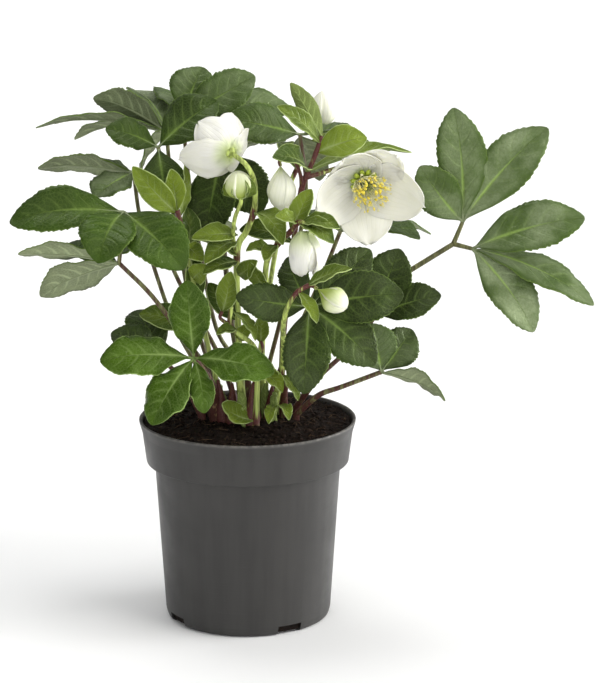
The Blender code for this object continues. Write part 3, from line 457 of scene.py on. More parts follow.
# A blade's midrib: how round its fold is, its steps, how deep it lies, and its shade, by
# which the skin knows it
RIB_ROUNDING = 0.06
RIB_STEPS = 12
RIB_DROP = 0.35
RIB_SHADE = 0.9
RIB_BLUSH = 0.15
LEAF_RIB_REACH = 0.86
LEAF_RIB_RADII = (0.85, 0.2)
BRACT_RIB_REACH = 0.8
BRACT_RIB_RADII = (0.7, 0.2)
SPROUT_RIB_RADII = (0.6, 0.2)

# Faces along and across each kind of sheet, and round each kind of tube
BLADE_GRID = (72, 12)
BRACT_GRID = (36, 10)
SHEATH_GRID = (18, 12)
SEPAL_GRID = (32, 26)
BELL_GRID = (26, 18)
BUD_GRID = (24, 12)
STALK_SIDES = 14
BRANCH_SIDES = 12

# Stage in metres, with the sensor in millimetres, and its lamps: where each stands,
# strength, spread in degrees, colour
CAMERA_PLACE = (0.029, -1.555, 0.535)
SENSOR_HEIGHT = 36
FLOOR_RADIUS = 7
LAMPS = {
    "key": ((1.5, -0.8, 1.7), 1.55, 40, (1, 0.99, 0.96)),
    "fill": ((-0.1, -2.2, 0.6), 1.15, 60, (0.98, 0.99, 1)),
    "top": ((-0.4, 0.9, 2.4), 1.25, 40, (1, 1, 1)),
    "side": ((2.2, 0.35, 0.2), 4.0, 35, (1, 1, 1)),
}


def mm(point):
    """A point given in millimetres, in metres"""
    return Vector(point) * MM


def smooth_step(low, high, value):
    """0 below low, 1 above high, and a soft change between them"""
    share = min(1, max(0, (value - low) / (high - low)))
    return share * share * (3 - 2 * share)


def smooth_route(points, steps):
    """Points along a Catmull-Rom curve through the given ones"""
    ends = [points[0] * 2 - points[1], *points, points[-1] * 2 - points[-2]]
    route = []
    for before, start, end, after in zip(ends, ends[1:], ends[2:], ends[3:]):
        for step in range(steps):
            t = step / steps
            route.append(0.5 * (2 * start + (end - before) * t
                                + (2 * before - 5 * start + 4 * end - after) * t ** 2
                                + (3 * start - before - 3 * end + after) * t ** 3))
    return [*route, points[-1]]


def start_mesh():
    """An empty bmesh with the layers that the materials read"""
    bm = bmesh.new()
    bm.loops.layers.uv.new("UVMap")
    bm.verts.layers.float.new("shade")
    bm.verts.layers.float.new("blush")
    return bm


def sheet(bm, place, along, across, shade=0.5, blush=0.0):
    """A grid laid out by place(u, v), u 0 to 1 and v -1 to 1, with u and v as its UV"""
    verts = bmesh.ops.create_grid(bm, x_segments=along, y_segments=across, size=0.5)["verts"]
    uv = bm.loops.layers.uv["UVMap"]
    shades = bm.verts.layers.float["shade"]
    blushes = bm.verts.layers.float["blush"]
    flat = {vert: (vert.co.x + 0.5, vert.co.y + 0.5) for vert in verts}
    for face in {face for vert in verts for face in vert.link_faces}:
        for loop in face.loops:
            loop[uv].uv = flat[loop.vert]
    for vert, (x, y) in flat.items():
        vert.co = place(x, 2 * y - 1)
        vert[shades] = shade
        vert[blushes] = blush(vert.co) if callable(blush) else blush
    return verts


def frames_along(route):
    """A point, a side and an up vector for each place of a route, turned as little as can be"""
    way = (route[1] - route[0]).normalized()
    side = way.orthogonal().normalized()
    frames = []
    for index, point in enumerate(route):
        before, after = route[max(0, index - 1)], route[min(len(route) - 1, index + 1)]
        way = (after - before).normalized()
        side = (side - way * side.dot(way)).normalized()
        frames.append((point, side, way.cross(side)))
    return frames


def tube(bm, route, radius, sides, shade=0.5, blush=0.0):
    """A closed tube along a route, its radius in millimetres given by the share of the way"""
    frames = frames_along(route)
    last = len(route) - 1

    def place(u, v):
        point, side, up = frames[round(u * last)]
        angle = -math.pi * (v + 1)
        return point + (side * math.cos(angle) + up * math.sin(angle)) * radius(u) * MM

    verts = sheet(bm, place, last, sides, shade, blush)
    bmesh.ops.remove_doubles(bm, verts=verts, dist=MERGE_GAP)
    verts = [vert for vert in verts if vert.is_valid]
    rims = {edge for vert in verts for edge in vert.link_edges if edge.is_boundary}
    bmesh.ops.holes_fill(bm, edges=list(rims), sides=0)


def tapered(first, last):
    """A radius that changes evenly along a tube"""
    return lambda share: first + (last - first) * share


def collection():
    """The collection that the pieces stand in"""
    home = bpy.data.collections.get("potted_christmas_rose")
    if home is None:
        home = bpy.data.collections.new("potted_christmas_rose")
        bpy.context.scene.collection.children.link(home)
    return home


def new_object(name, bm):
    """An object in the collection, from a bmesh that is then done with"""
    mesh = bpy.data.meshes.new(name)
    bm.to_mesh(mesh)
    bm.free()
    obj = bpy.data.objects.new(name, mesh)
    collection().objects.link(obj)
    return obj


def finish_piece(obj, materials, slot, *nodes):
    """Materials, smooth shading and the solids that the piece stands for"""
    for material in materials:
        obj.data.materials.append(material)
    obj.data.shade_smooth()
    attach(obj, "root")
    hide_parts(*nodes)


def add_closed(name, bm, material, slot, *nodes):
    """A piece of closed shapes, with their faces turned outwards"""
    bmesh.ops.recalc_face_normals(bm, faces=bm.faces)
    finish_piece(new_object(name, bm), [material], slot, *nodes)


def add_blades(name, bm, thickness, materials, slot, *nodes):
    """A piece of open sheets with a live thickness, the last material on their undersides"""
    obj = new_object(name, bm)
    solidify = obj.modifiers.new("thickness", "SOLIDIFY")
    solidify.thickness = thickness
    solidify.offset = 0
    solidify.material_offset = len(materials) - 1
    solidify.material_offset_rim = 0
    finish_piece(obj, materials, slot, *nodes)


def leaf_half_width(u, widest):
    """Half the blade's outline, 0 to 1, wedge-shaped at the foot and widest past the middle"""
    swell = max(0, math.sin(math.pi * u ** widest))
    return max(0.05, swell ** (0.65 + 0.35 * (1 - u) ** 3))


def leaf_layout(base, tip, width, face, arch, kind, wave, tooth, rng):
    """Layout of a blade: folded at a sunk rib, quilted between its veins, waved and toothed"""
    widest, cup, turning = BLADE_FORMS[kind]
    length = (tip - base).length
    along = (tip - base) / length
    up = (face - along * face.dot(along)).normalized()
    side = up.cross(along)
    fold = LEAF_FOLD + rng.uniform(-0.08, 0.08)
    phase = rng.uniform(0, math.tau)
    sway = rng.uniform(-0.035, 0.035) * length
    hook = rng.uniform(0.0, 0.06) * length
    twist = rng.uniform(-turning, turning)

    def place(u, v):
        spread = abs(v)
        bow = 4 * u * (1 - u)
        edge = phase + (1.9 if v > 0 else 0)
        bite = 0.45 + 1.3 * abs(noise.noise(Vector((math.floor(u * TEETH) * 1.7, edge, 3))))
        grade = smooth_step(0.3, 0.5, u) * (1 - smooth_step(0.95, 1, u))
        margin = tooth * bite * grade * ((u * TEETH) % 1 - 0.4) * spread ** 8
        lobe = 1 + 0.05 * noise.noise(Vector((u * 3.2, edge, 9)))
        half = width / 2 * leaf_half_width(u, widest) * lobe + margin
        vein = (u - VEIN_SLANT * spread ** VEIN_CURVE) * VEINS + (VEIN_SHIFT if v > 0 else 0)
        quilt = QUILTING * width * abs(math.sin(math.pi * vein)) * 4 * spread * (1 - spread)
        ripple = math.sin(math.tau * 2.1 * u + edge) + 0.5 * math.sin(math.tau * 4.7 * u + edge)
        rise = half * (math.hypot(v, RIB_ROUNDING) - RIB_ROUNDING) * math.sin(fold)
        rise += half * (cup - 0.1) * spread ** 3
        rise += (quilt + wave * spread ** 3 * ripple) * bow
        lean = twist * (u - 0.3)
        out = side * math.cos(lean) + up * math.sin(lean)
        lift = up * math.cos(lean) - side * math.sin(lean)
        rib = base + along * length * u + up * (arch * length * bow) + side * sway * bow
        rib -= up * hook * (smooth_step(0.7, 1, u) - u ** 3 * 0.6)
        return rib + out * half * v * math.cos(fold) + lift * rise

    return place


def rib_route(foot, place, reach):
    """A foot, and then points just under a blade's midrib"""
    route = [foot]
    for step in range(1, RIB_STEPS + 1):
        u = reach * step / RIB_STEPS
        over = (place(min(1, u + 0.02), 0) - place(max(0, u - 0.02), 0)).normalized()
        across = (place(u, 0.3) - place(u, -0.3)).normalized()
        route.append(place(u, 0) - over.cross(across) * RIB_DROP * MM)
    return route


def scaled(colour, factor, lift=0.0):
    """A colour made lighter or darker"""
    return tuple(min(1.0, part * factor + lift) for part in colour)


class Finish:
    """A material whose nodes are added one at a time. Numbers that are the same all over it
    are set on the shader's own sockets, and colours are painted over a first one"""

    def __init__(self, colour, levels):
        self.material = bpy.data.materials.new("finish")
        self.material.use_nodes = True
        self.tree = self.material.node_tree
        self.shader = self.tree.nodes["Principled BSDF"]
        self.place = self.add("TexCoord", output="Object")
        self.uv = self.add("UVMap", uv_map="UVMap")
        self.colour = colour
        for socket, value in levels.items():
            self.set(self.shader, socket, value)

    def set(self, node, socket, value):
        """Link a node's socket to another's, or give it a number, a vector or a colour"""
        target = node.inputs[socket]
        if isinstance(value, bpy.types.NodeSocket):
            self.tree.links.new(value, target)
        elif target.type == "RGBA":
            target.default_value = (*value, 1)
        else:
            target.default_value = value

    def add(self, kind, inputs=None, output=0, **settings):
        """A node with its inputs set or linked, and one of its outputs"""
        node = self.tree.nodes.new("ShaderNode" + kind)
        for key, value in settings.items():
            setattr(node, key, value)
        for socket, value in (inputs or {}).items():
            self.set(node, socket, value)
        return node.outputs[output]

    def math(self, operation, first, second=0.0, third=0.0):
        return self.add("Math", {0: first, 1: second, 2: third}, operation=operation)

    def times(self, first, second):
        return self.math("MULTIPLY", first, second)

    def times_plus(self, first, second, third):
        """First times second, plus third"""
        return self.math("MULTIPLY_ADD", first, second, third)

    def clamped(self, value):
        return self.add("Clamp", {0: value})

    def fade(self, value, low, high, start=0.0, end=1.0):
        """Start below low, end above high, and a soft change between them"""
        return self.add("MapRange", {"Value": value, "From Min": low, "From Max": high,
                                     "To Min": start, "To Max": end},
                        interpolation_type="SMOOTHSTEP")

    def noise(self, scale, detail=2.0, vector=None, output=0):
        """Noise on the object's own coordinates in metres, or on another vector"""
        return self.add("TexNoise", {"Vector": vector or self.place, "Scale": scale,
                                     "Detail": detail}, output=output)

    def streaks(self, detail, *scale):
        """Noise that is stretched by a scale along each axis"""
        return self.noise(1.0, detail, self.add("Mapping", {"Vector": self.place,
                                                            "Scale": scale}))

    def parts(self, vector):
        """The three parts of a vector"""
        return self.add("SeparateXYZ", {0: vector}).node.outputs

    def attribute(self, name):
        return self.add("Attribute", output="Fac", attribute_name=name)

    def mix(self, factor, first, second):
        """A colour between two, by a factor"""
        return self.add("Mix", {0: factor, 6: first, 7: second}, output=2, data_type="RGBA")

    def paint(self, factor, colour):
        """Lay a colour over what there is, as far as a factor says"""
        self.colour = self.mix(factor, self.colour, colour)

    def done(self, height=None, distance=0.0003, strength=1.0, roughness=None):
        """Link the colour, the relief and the gloss to the shader"""
        self.set(self.shader, "Base Color", self.colour)
        if height is not None:
            self.set(self.shader, "Normal", self.add(
                "Bump", {"Height": height, "Distance": distance, "Strength": strength}))
        if roughness is not None:
            self.set(self.shader, "Roughness", roughness)
        return self.material


def material_once(build):
    """Make a finish the first time that it is asked for, and name it after its function"""
    def once(*kinds):
        name = "_".join((build.__name__, *kinds))
        if name not in bpy.data.materials:
            build(*kinds).name = name
        return bpy.data.materials[name]

    return once


def vein_masks(finish):
    """Shares of the way along a blade and out from its rib, and masks of the midrib, the side
    veins and the fine net between them"""
    along, across, _ = finish.parts(finish.uv)
    turned = finish.times_plus(across, 2.0, -1.0)
    out = finish.math("ABSOLUTE", turned)
    right = finish.math("GREATER_THAN", turned, 0.0)
    flow = finish.times_plus(finish.math("POWER", out, VEIN_CURVE), -VEIN_SLANT, along)
    flow = finish.times_plus(finish.noise(34.0, 2.0), 0.07, flow)
    flow = finish.times_plus(flow, VEINS, finish.times(right, VEIN_SHIFT))
    spacing = finish.math("PINGPONG", flow, 0.5)
    width = finish.fade(out, 0.0, 0.9, 0.26, 0.1)
    side = finish.math("SUBTRACT", 1.0, finish.math("DIVIDE", spacing, width))
    side = finish.math("POWER", finish.clamped(side), 1.6)
    side = finish.times(side, finish.fade(out, 0.3, 0.95, 1.0, 0.12))
    side = finish.times(side, finish.fade(along, 0.8, 0.95, 1.0, 0.0))
    rib_width = finish.fade(along, 0.0, 0.8, 0.17, 0.025)
    rib = finish.clamped(finish.math("SUBTRACT", 1.0, finish.math("DIVIDE", out, rib_width)))
    cells = finish.add("Mapping", {"Vector": finish.uv, "Scale": (30.0, 14.0, 1.0)})
    cells = finish.add("VectorMath", {0: finish.noise(40.0, 1.0, output=1), 1: cells},
                       operation="ADD")
    net = finish.add("TexVoronoi", {"Vector": cells, "Scale": 1.0}, output="Distance",
                     feature="DISTANCE_TO_EDGE")
    return along, out, rib, side, finish.fade(net, 0.0, 0.14, 1.0, 0.0)


@material_once
def blade_face(kind):
    """Upper face of a blade: leathery, with pale sunk veins, a fine pale margin and a grey coat
    where the blush attribute asks for it, partly a real film on the leaf and partly painted sheen,
    whose broad patches are painted highlights"""
    props = bpy.context.scene.christmas_rose_plant
    deep, fresh, pale, veins, glow, edge = {
        "adult": (props.leaf_dark, props.leaf_light, props.vein_colour, 0.22, 0.2, 0.45),
        "young": (props.young_dark, props.young_light, props.young_vein, 0.24, 0.55, 0.85),
        "bract": (props.bract_dark, props.bract_light, props.bract_margin, 0.24, 0.7, 0.85),
    }[kind]
    finish = Finish(deep, {"Specular IOR Level": 0.28, "Specular Tint": (0.7, 0.9, 0.35)})
    along, out, rib, side, net = vein_masks(finish)
    patches = finish.fade(finish.noise(48.0, 3.0), 0.32, 0.7)
    tone = finish.times_plus(patches, 0.56, finish.attribute("shade"))
    tone = finish.math("SUBTRACT", tone, 0.28)
    tone = finish.times_plus(finish.fade(out, 0.0, 0.5, 0.3, 0.0), glow, tone)
    finish.paint(finish.clamped(tone), fresh)
    finish.paint(finish.times(net, 0.14), pale)
    finish.paint(finish.times(side, veins), pale)
    finish.paint(finish.times(finish.fade(out, 0.0, 0.45, 0.6, 0.0),
                              finish.fade(along, 0.0, 0.5, 1.0, 0.0)), pale)
    # Grey film, partly real and partly painted sheen: its broad noise patches are painted
    # highlights
    film = finish.times(finish.fade(finish.noise(700.0, 4.0), 0.25, 0.75, 0.7, 1.0),
                        finish.fade(finish.noise(52.0, 2.0), 0.32, 0.66, 0.35, 1.25))
    film = finish.times_plus(net, -0.15, film)
    film = finish.times(film, finish.fade(out, 0.66, 1.0, 1.0, 0.3))
    finish.paint(finish.times(film, finish.attribute("blush")), props.film)
    finish.paint(finish.fade(out, 0.94, 0.99, 0.0, edge), pale)
    # The midrib is painted paler where the share of grey film and painted sheen is high
    rib_colour = finish.mix(finish.attribute("blush"), pale, scaled(pale, 2.0, 0.02))
    finish.paint(finish.times(rib, finish.fade(along, 0.0, 0.95, 1.0, 0.35)), rib_colour)
    speck = finish.fade(finish.noise(420.0, 2.0), 0.68, 0.76, 0.0, 0.5)
    finish.paint(finish.times(speck, patches), props.film)
    grooves = finish.times_plus(side, -0.6, finish.times(rib, -0.9))
    grooves = finish.times_plus(net, -0.2, grooves)
    grain = finish.times_plus(finish.noise(900.0, 2.0), 0.12, grooves)
    rough = finish.fade(finish.noise(90.0, 3.0), 0.3, 0.7, 0.24, 0.42)
    return finish.done(grain, 0.0006, 0.8, rough)


@material_once
def blade_back(kind):
    """Underside of a blade: pale, matt, with raised veins"""
    props = bpy.context.scene.christmas_rose_plant
    back = {"adult": props.underside, "young": props.young_underside,
            "bract": props.bract_underside}[kind]
    finish = Finish(scaled(back, 0.66), {"Roughness": 0.6, "Specular IOR Level": 0.15})
    _, out, rib, side, net = vein_masks(finish)
    lit = scaled(back, 1.7, 0.04)
    finish.paint(finish.fade(finish.noise(60.0, 3.0), 0.3, 0.7), back)
    for mask, strength in ((side, 0.6), (net, 0.26), (rib, 0.9)):
        finish.paint(finish.times(mask, strength), lit)
    finish.paint(finish.fade(out, 0.8, 1.0, 0.0, 0.5), scaled(back, 0.5))
    ridges = finish.times_plus(side, 0.5, finish.times(net, 0.2))
    return finish.done(ridges, 0.0004, 0.7)


@material_once
def stalk_skin(kind):
    """Skin of a stalk or stem: fine streaks, cream bands, red brown where it blushes, and the
    underside's green on the ribs, whose shade is near 1"""
    props = bpy.context.scene.christmas_rose_plant
    base, blush, rib, band_hold = {
        "petiole": (props.petiole, props.petiole_blush, props.underside, -0.45),
        "young": (props.young_petiole, props.petiole_blush, props.young_underside, -0.45),
        "stem": (props.stem, props.stem_blush, props.bract_underside, -0.1),
    }[kind]
    finish = Finish(scaled(base, 0.62), {"Roughness": 0.48, "Specular IOR Level": 0.35})
    streaks = finish.streaks(3.0, 800.0, 800.0, 50.0)
    streak = finish.fade(streaks, 0.35, 0.68)
    finish.paint(streak, scaled(base, 1.5, 0.01))
    bands = finish.streaks(2.0, 330.0, 330.0, 16.0)
    finish.paint(finish.fade(bands, 0.55, 0.66, 0.0, 0.75), scaled(base, 2.1, 0.03))
    reach = finish.times_plus(finish.noise(110.0, 3.0), 0.7, finish.attribute("blush"))
    reach = finish.times_plus(finish.fade(bands, 0.5, 0.64), band_hold, reach)
    reach = finish.times_plus(streak, -0.35, reach)
    finish.paint(finish.fade(reach, 0.45, 1.0), blush)
    specks = finish.fade(finish.noise(1300.0, 1.0), 0.58, 0.7, 0.0, 0.4)
    finish.paint(finish.times(specks, finish.fade(reach, 0.4, 1.0)), scaled(blush, 2.4, 0.03))
    finish.paint(finish.fade(finish.attribute("shade"), 0.6, 0.9), rib)
    relief = finish.times_plus(streaks, 0.8, finish.noise(1600.0, 2.0))
    return finish.done(relief, 0.0003, 0.7)


@material_once
def petal(side):
    """A sepal: white, greenish at its foot, with faint veins that fan out from it; the bell's white
    is painted lighter to lift the shade that it hangs in
    """
    props = bpy.context.scene.christmas_rose_plant
    # The third number lightens the white: for the bell it is painted light against the shade that
    # the hanging bell lies in
    foot, tint, light = {"inside": (0.34, 0.85, 1.0), "outside": (0.5, 0.8, 1.0),
                         "bell": (0.75, 0.75, 1.14)}[side]
    white = tuple(min(0.93, part * light) for part in props.sepal)
    finish = Finish(white, {"Roughness": 0.5, "Specular IOR Level": 0.3,
                            "Subsurface Weight": 0.35, "Subsurface Scale": 1.0,
                            "Subsurface Radius": (0.0016, 0.0016, 0.0011)})
    along, across, _ = finish.parts(finish.uv)
    wave = finish.times_plus(finish.noise(60.0, 2.0), 0.06, across)
    fan = finish.math("PINGPONG", finish.times(wave, 13.0), 0.5)
    vein = finish.times(finish.fade(fan, 0.0, 0.16, 1.0, 0.0),
                        finish.fade(along, 0.5, 1.0, 1.0, 0.2))
    finish.paint(finish.fade(finish.noise(45.0, 3.0), 0.3, 0.72), scaled(white, 0.92))
    finish.paint(finish.times(vein, 0.16), props.sepal_vein)
    reach = finish.times_plus(finish.noise(70.0, 2.0), 0.2, along)
    finish.paint(finish.fade(reach, 0.1, foot, tint, 0.0), props.sepal_foot)
    relief = finish.times_plus(vein, -0.5, finish.noise(160.0, 2.0))
    return finish.done(relief, 0.0004, 0.5)


@material_once
def bud_skin(kind):
    """Closed sepals of a bud, green at the foot and white towards the tip"""
    props = bpy.context.scene.christmas_rose_plant
    start, far = {"green": (0.2, 1.5), "pale": (0.3, 1.3), "white": (0.1, 0.42)}[kind]
    finish = Finish(props.bud_green, {"Roughness": 0.45, "Specular IOR Level": 0.3,
                                      "Subsurface Weight": 0.3, "Subsurface Scale": 1.0,
                                      "Subsurface Radius": (0.0008, 0.0008, 0.0005)})
    along, across, _ = finish.parts(finish.uv)
    fan = finish.math("PINGPONG", finish.times(across, 7.0), 0.5)
    vein = finish.fade(fan, 0.0, 0.3, 1.0, 0.0)
    reach = finish.times_plus(finish.noise(80.0, 2.0), 0.3, along)
    finish.paint(finish.fade(reach, start, far), props.bud_white)
    finish.paint(finish.times(vein, 0.08), props.bud_green)
    finish.paint(finish.fade(across, 0.86, 0.98, 0.0, 0.8), props.bud_white)
    relief = finish.times_plus(vein, -0.3, finish.noise(220.0, 2.0))
    return finish.done(relief, 0.0003, 0.5)


@material_once
def flower_heart(kind):
    """Nectaries, filaments, anthers and pistils; anthers whose shade is high are spent"""
    props = bpy.context.scene.christmas_rose_plant
    base = getattr(props, kind)
    finish = Finish(scaled(base, 0.75), {"Roughness": 0.7 if kind == "anther" else 0.45})
    finish.paint(finish.fade(finish.noise(700.0, 2.0), 0.3, 0.7), scaled(base, 1.2))
    if kind == "anther":
        finish.paint(finish.fade(finish.attribute("shade"), 0.6, 1.1), props.filament)
    return finish.done(finish.noise(2500.0, 2.0), 0.0002, 0.5)


@material_once
def moulded_pot():
    """Dark grey moulded plastic: faint upright streaks of painted sheen, turning scuffs, a painted
    highlight along the lip, and dust on the lip that is partly painted highlight
    """
    props = bpy.context.scene.christmas_rose_pot
    base = props.pot_colour
    finish = Finish(scaled(base, 0.88), {"Specular IOR Level": 0.4})
    height = finish.math("SUBTRACT", finish.parts(finish.place)[2], POT_HEIGHT * MM)
    streaks = finish.streaks(4.0, 120.0, 120.0, 6.0)
    scuffs = finish.streaks(3.0, 50.0, 50.0, 1100.0)
    # Painted sheen: faint upright lighter streaks on the wall, which also give a faint relief
    finish.paint(finish.fade(streaks, 0.35, 0.65), scaled(base, 1.12))
    finish.paint(finish.fade(finish.noise(24.0, 4.0), 0.42, 0.8, 0.0, 0.16), scaled(base, 1.6))
    finish.paint(finish.fade(scuffs, 0.68, 0.76, 0.0, 0.16), scaled(base, 1.8))
    # Painted highlight: a lighter line just under the top of the lip
    finish.paint(finish.fade(height, -0.0022, -0.0008, 0.0, 0.5), scaled(base, 3.0))
    # Dust on the lip: partly real dust and partly painted highlight
    dust = finish.times(finish.fade(height, -0.0017, -0.0001),
                        finish.fade(finish.noise(300.0, 4.0), 0.4, 0.66))
    finish.paint(finish.times(dust, 0.6), props.dust_colour)
    rough = finish.fade(finish.noise(60.0, 4.0), 0.3, 0.7, 0.4, 0.52)
    relief = finish.times_plus(finish.noise(1500.0, 2.0), 0.35, scuffs)
    relief = finish.times_plus(streaks, 0.6, relief)
    return finish.done(relief, 0.0001, 0.6, rough)


@material_once
def potting_soil(kind):
    """Moist dark soil, its crumbs, or the pale brown fibres in it"""
    props = bpy.context.scene.christmas_rose_pot
    dark, light = props.soil_dark, props.soil_light
    if kind == "fibre":
        dark, light = props.soil_light, props.fibre_colour
    finish = Finish(dark, {"Specular IOR Level": 0.12})
    grain = finish.noise(420.0, 5.0)
    tone = finish.times_plus(finish.attribute("shade"), 0.8, grain)
    finish.paint(finish.fade(tone, 0.55, 1.25), light)
    rough = finish.fade(finish.noise(300.0, 2.0), 0.3, 0.7, 0.7, 1.0)
    relief = finish.times_plus(finish.noise(1500.0, 4.0), 0.4, grain)
    return finish.done(relief, 0.0012, 1.0, rough)


@material_once
def pale_floor():
    """Matt floor with faint clouds"""
    colour = bpy.context.scene.christmas_rose_stage.floor_colour
    finish = Finish(scaled(colour, 0.985), {"Roughness": 0.8})
    finish.paint(finish.noise(3.0, 2.0), colour)
    return finish.done()


def softened(outline, cut, steps):
    """An outline whose corners are rounded, starting a cut's length away from each"""
    points = [outline[0]]
    for before, corner, after in zip(outline, outline[1:], outline[2:]):
        corner = Vector(corner)
        to_before, to_after = Vector(before) - corner, Vector(after) - corner
        start = corner + to_before.normalized() * min(cut, to_before.length * 0.45)
        end = corner + to_after.normalized() * min(cut, to_after.length * 0.45)
        for step in range(steps + 1):
            t = step / steps
            points.append(start * (1 - t) ** 2 + corner * 2 * t * (1 - t) + end * t ** 2)
    return [*points, outline[-1]]


def pot_outline():
    """Half outline of the pot, from the floor's middle up the inside and down the outside"""
    wall = POT_WALL
    inside = [(0, wall), (BASE_RADIUS - wall, wall),
              (BODY_TOP_RADIUS - wall, BAND_FOOT_HEIGHT + wall),
              (BAND_FOOT_RADIUS - wall, BAND_FOOT_HEIGHT + wall),
              (RIM_RADIUS - LIP_TAPER - wall, POT_HEIGHT - LIP_DEPTH),
              (RIM_RADIUS - wall, POT_HEIGHT)]
    outside = [(RIM_RADIUS, POT_HEIGHT), (RIM_RADIUS - EDGE_SLANT, POT_HEIGHT - LIP_BEAD),
               (RIM_RADIUS - LIP_TAPER, POT_HEIGHT - LIP_DEPTH),
               (BAND_FOOT_RADIUS, BAND_FOOT_HEIGHT),
               (BODY_TOP_RADIUS, BAND_FOOT_HEIGHT - EDGE_SLANT),
               *((BASE_RADIUS - inset, height) for inset, height in BASE_CHAMFER), (0, 0)]
    return softened(inside + outside, CORNER_CUT, CORNER_STEPS)


def cut_notches(pot):
    """Take the drain notches out of the pot's foot"""
    boolean = pot.modifiers.new("notches", "BOOLEAN")
    boolean.operation = "DIFFERENCE"
    boolean.operand_type = "COLLECTION"
    boolean.collection = bpy.data.collections.new("notches")
    depth = NOTCH_DEPTH + NOTCH_OVERCUT
    reach = BASE_RADIUS + NOTCH_OVERCUT - depth / 2
    for angle in NOTCH_ANGLES:
        turn = math.radians(angle)
        bm = bmesh.new()
        bmesh.ops.create_cube(bm, size=1)
        bmesh.ops.scale(bm, verts=bm.verts, vec=mm((NOTCH_WIDTH, depth, 2 * NOTCH_HEIGHT)))
        bmesh.ops.rotate(bm, verts=bm.verts, matrix=Matrix.Rotation(turn, 3, "Z"))
        bmesh.ops.translate(bm, verts=bm.verts,
                            vec=mm((reach * math.sin(turn), -reach * math.cos(turn), 0)))
        boolean.collection.objects.link(new_object("notch", bm))
    bpy.context.view_layer.update()
    graph = bpy.context.evaluated_depsgraph_get()
    mesh = bpy.data.meshes.new_from_object(pot.evaluated_get(graph))
    for cutter in list(boolean.collection.objects):
        bpy.data.objects.remove(cutter)
    bpy.data.collections.remove(boolean.collection)
    pot.modifiers.remove(boolean)
    pot.data = mesh


class ROSE_OT_pot(bpy.types.Operator):
    """Turn the nursery pot, with its banded rim and drain notches"""
    bl_idname = "christmas_rose.pot"
    bl_label = "Nursery Pot"

    def execute(self, context):
        bm = start_mesh()
        verts = [bm.verts.new((x * MM, 0, z * MM)) for x, z in pot_outline()]
        edges = [bm.edges.new(pair) for pair in zip(verts, verts[1:])]
        bmesh.ops.spin(bm, geom=verts + edges, axis=(0, 0, 1), cent=(0, 0, 0), angle=math.tau,
                       steps=context.scene.christmas_rose_pot.pot_steps, use_merge=True)
        bmesh.ops.remove_doubles(bm, verts=bm.verts, dist=MERGE_GAP)
        bmesh.ops.recalc_face_normals(bm, faces=bm.faces)
        pot = new_object("dressed_pot", bm)
        cut_notches(pot)
        finish_piece(pot, [moulded_pot()], "pot_plastic", "pot")
        pot.data.set_sharp_from_angle(angle=POT_SHARP_ANGLE)
        return {"FINISHED"}


def soil_height(x, y):
    """Height of the loose soil at a place, all in millimetres"""
    share = min(1, math.hypot(x, y) / BODY_TOP_RADIUS)
    lumps = sum(weight * noise.noise(Vector((x, y, level)) / size)
                for size, weight, level in SOIL_LUMPS)
    return SOIL_EDGE + SOIL_MOUND * (1 - share ** 2) + SOIL_ROUGHNESS * lumps


def rough_soil_height(x, y):
    """Height of the soil with its finer lumps"""
    fine = noise.fractal(Vector((x, y, 3)) / FINE_LUMP_SIZE, 1.0, 2.0, 4)
    return soil_height(x, y) + FINE_LUMP_HEIGHT * fine


def soil_layout(u, v):
    """The soil's top from its middle out, then its side against the pot and its floor"""
    turn = math.pi * v
    row = round(u * (SOIL_TOP_RINGS + len(SOIL_SIDES)))
    if row > SOIL_TOP_RINGS:
        radius, height = SOIL_SIDES[row - SOIL_TOP_RINGS - 1]
        return mm((radius * math.cos(turn), radius * math.sin(turn), height))
    radius = (SOIL_SIDES[0][0] + SOIL_RIM_REACH) * row / SOIL_TOP_RINGS
    x, y = radius * math.cos(turn), radius * math.sin(turn)
    return mm((x, y, rough_soil_height(x, y)))


def add_crumb(bm, place, size, rng, shade):
    """A small lump, squashed and turned at random"""
    verts = bmesh.ops.create_icosphere(bm, subdivisions=1, radius=size * MM)["verts"]
    shades = bm.verts.layers.float["shade"]
    for vert in verts:
        vert.co *= rng.uniform(0.65, 1.15)
        vert[shades] = shade
    squash = Matrix.Diagonal((1, rng.uniform(0.6, 1), rng.uniform(0.4, 0.8)))
    turn = Matrix.Rotation(rng.uniform(0, math.tau), 3, "Z")
    tilt = Matrix.Rotation(rng.uniform(-0.6, 0.6), 3, "X")
    bmesh.ops.transform(bm, matrix=(turn @ tilt @ squash).to_4x4(), verts=verts)
    bmesh.ops.translate(bm, vec=place, verts=verts)


def on_soil(rng, lift):
    """A random place on the soil, in metres"""
    radius = STREWN_RADIUS * math.sqrt(rng.random())
    turn = rng.uniform(0, math.tau)
    x, y = radius * math.cos(turn), radius * math.sin(turn)
    return mm((x, y, soil_height(x, y) + lift))


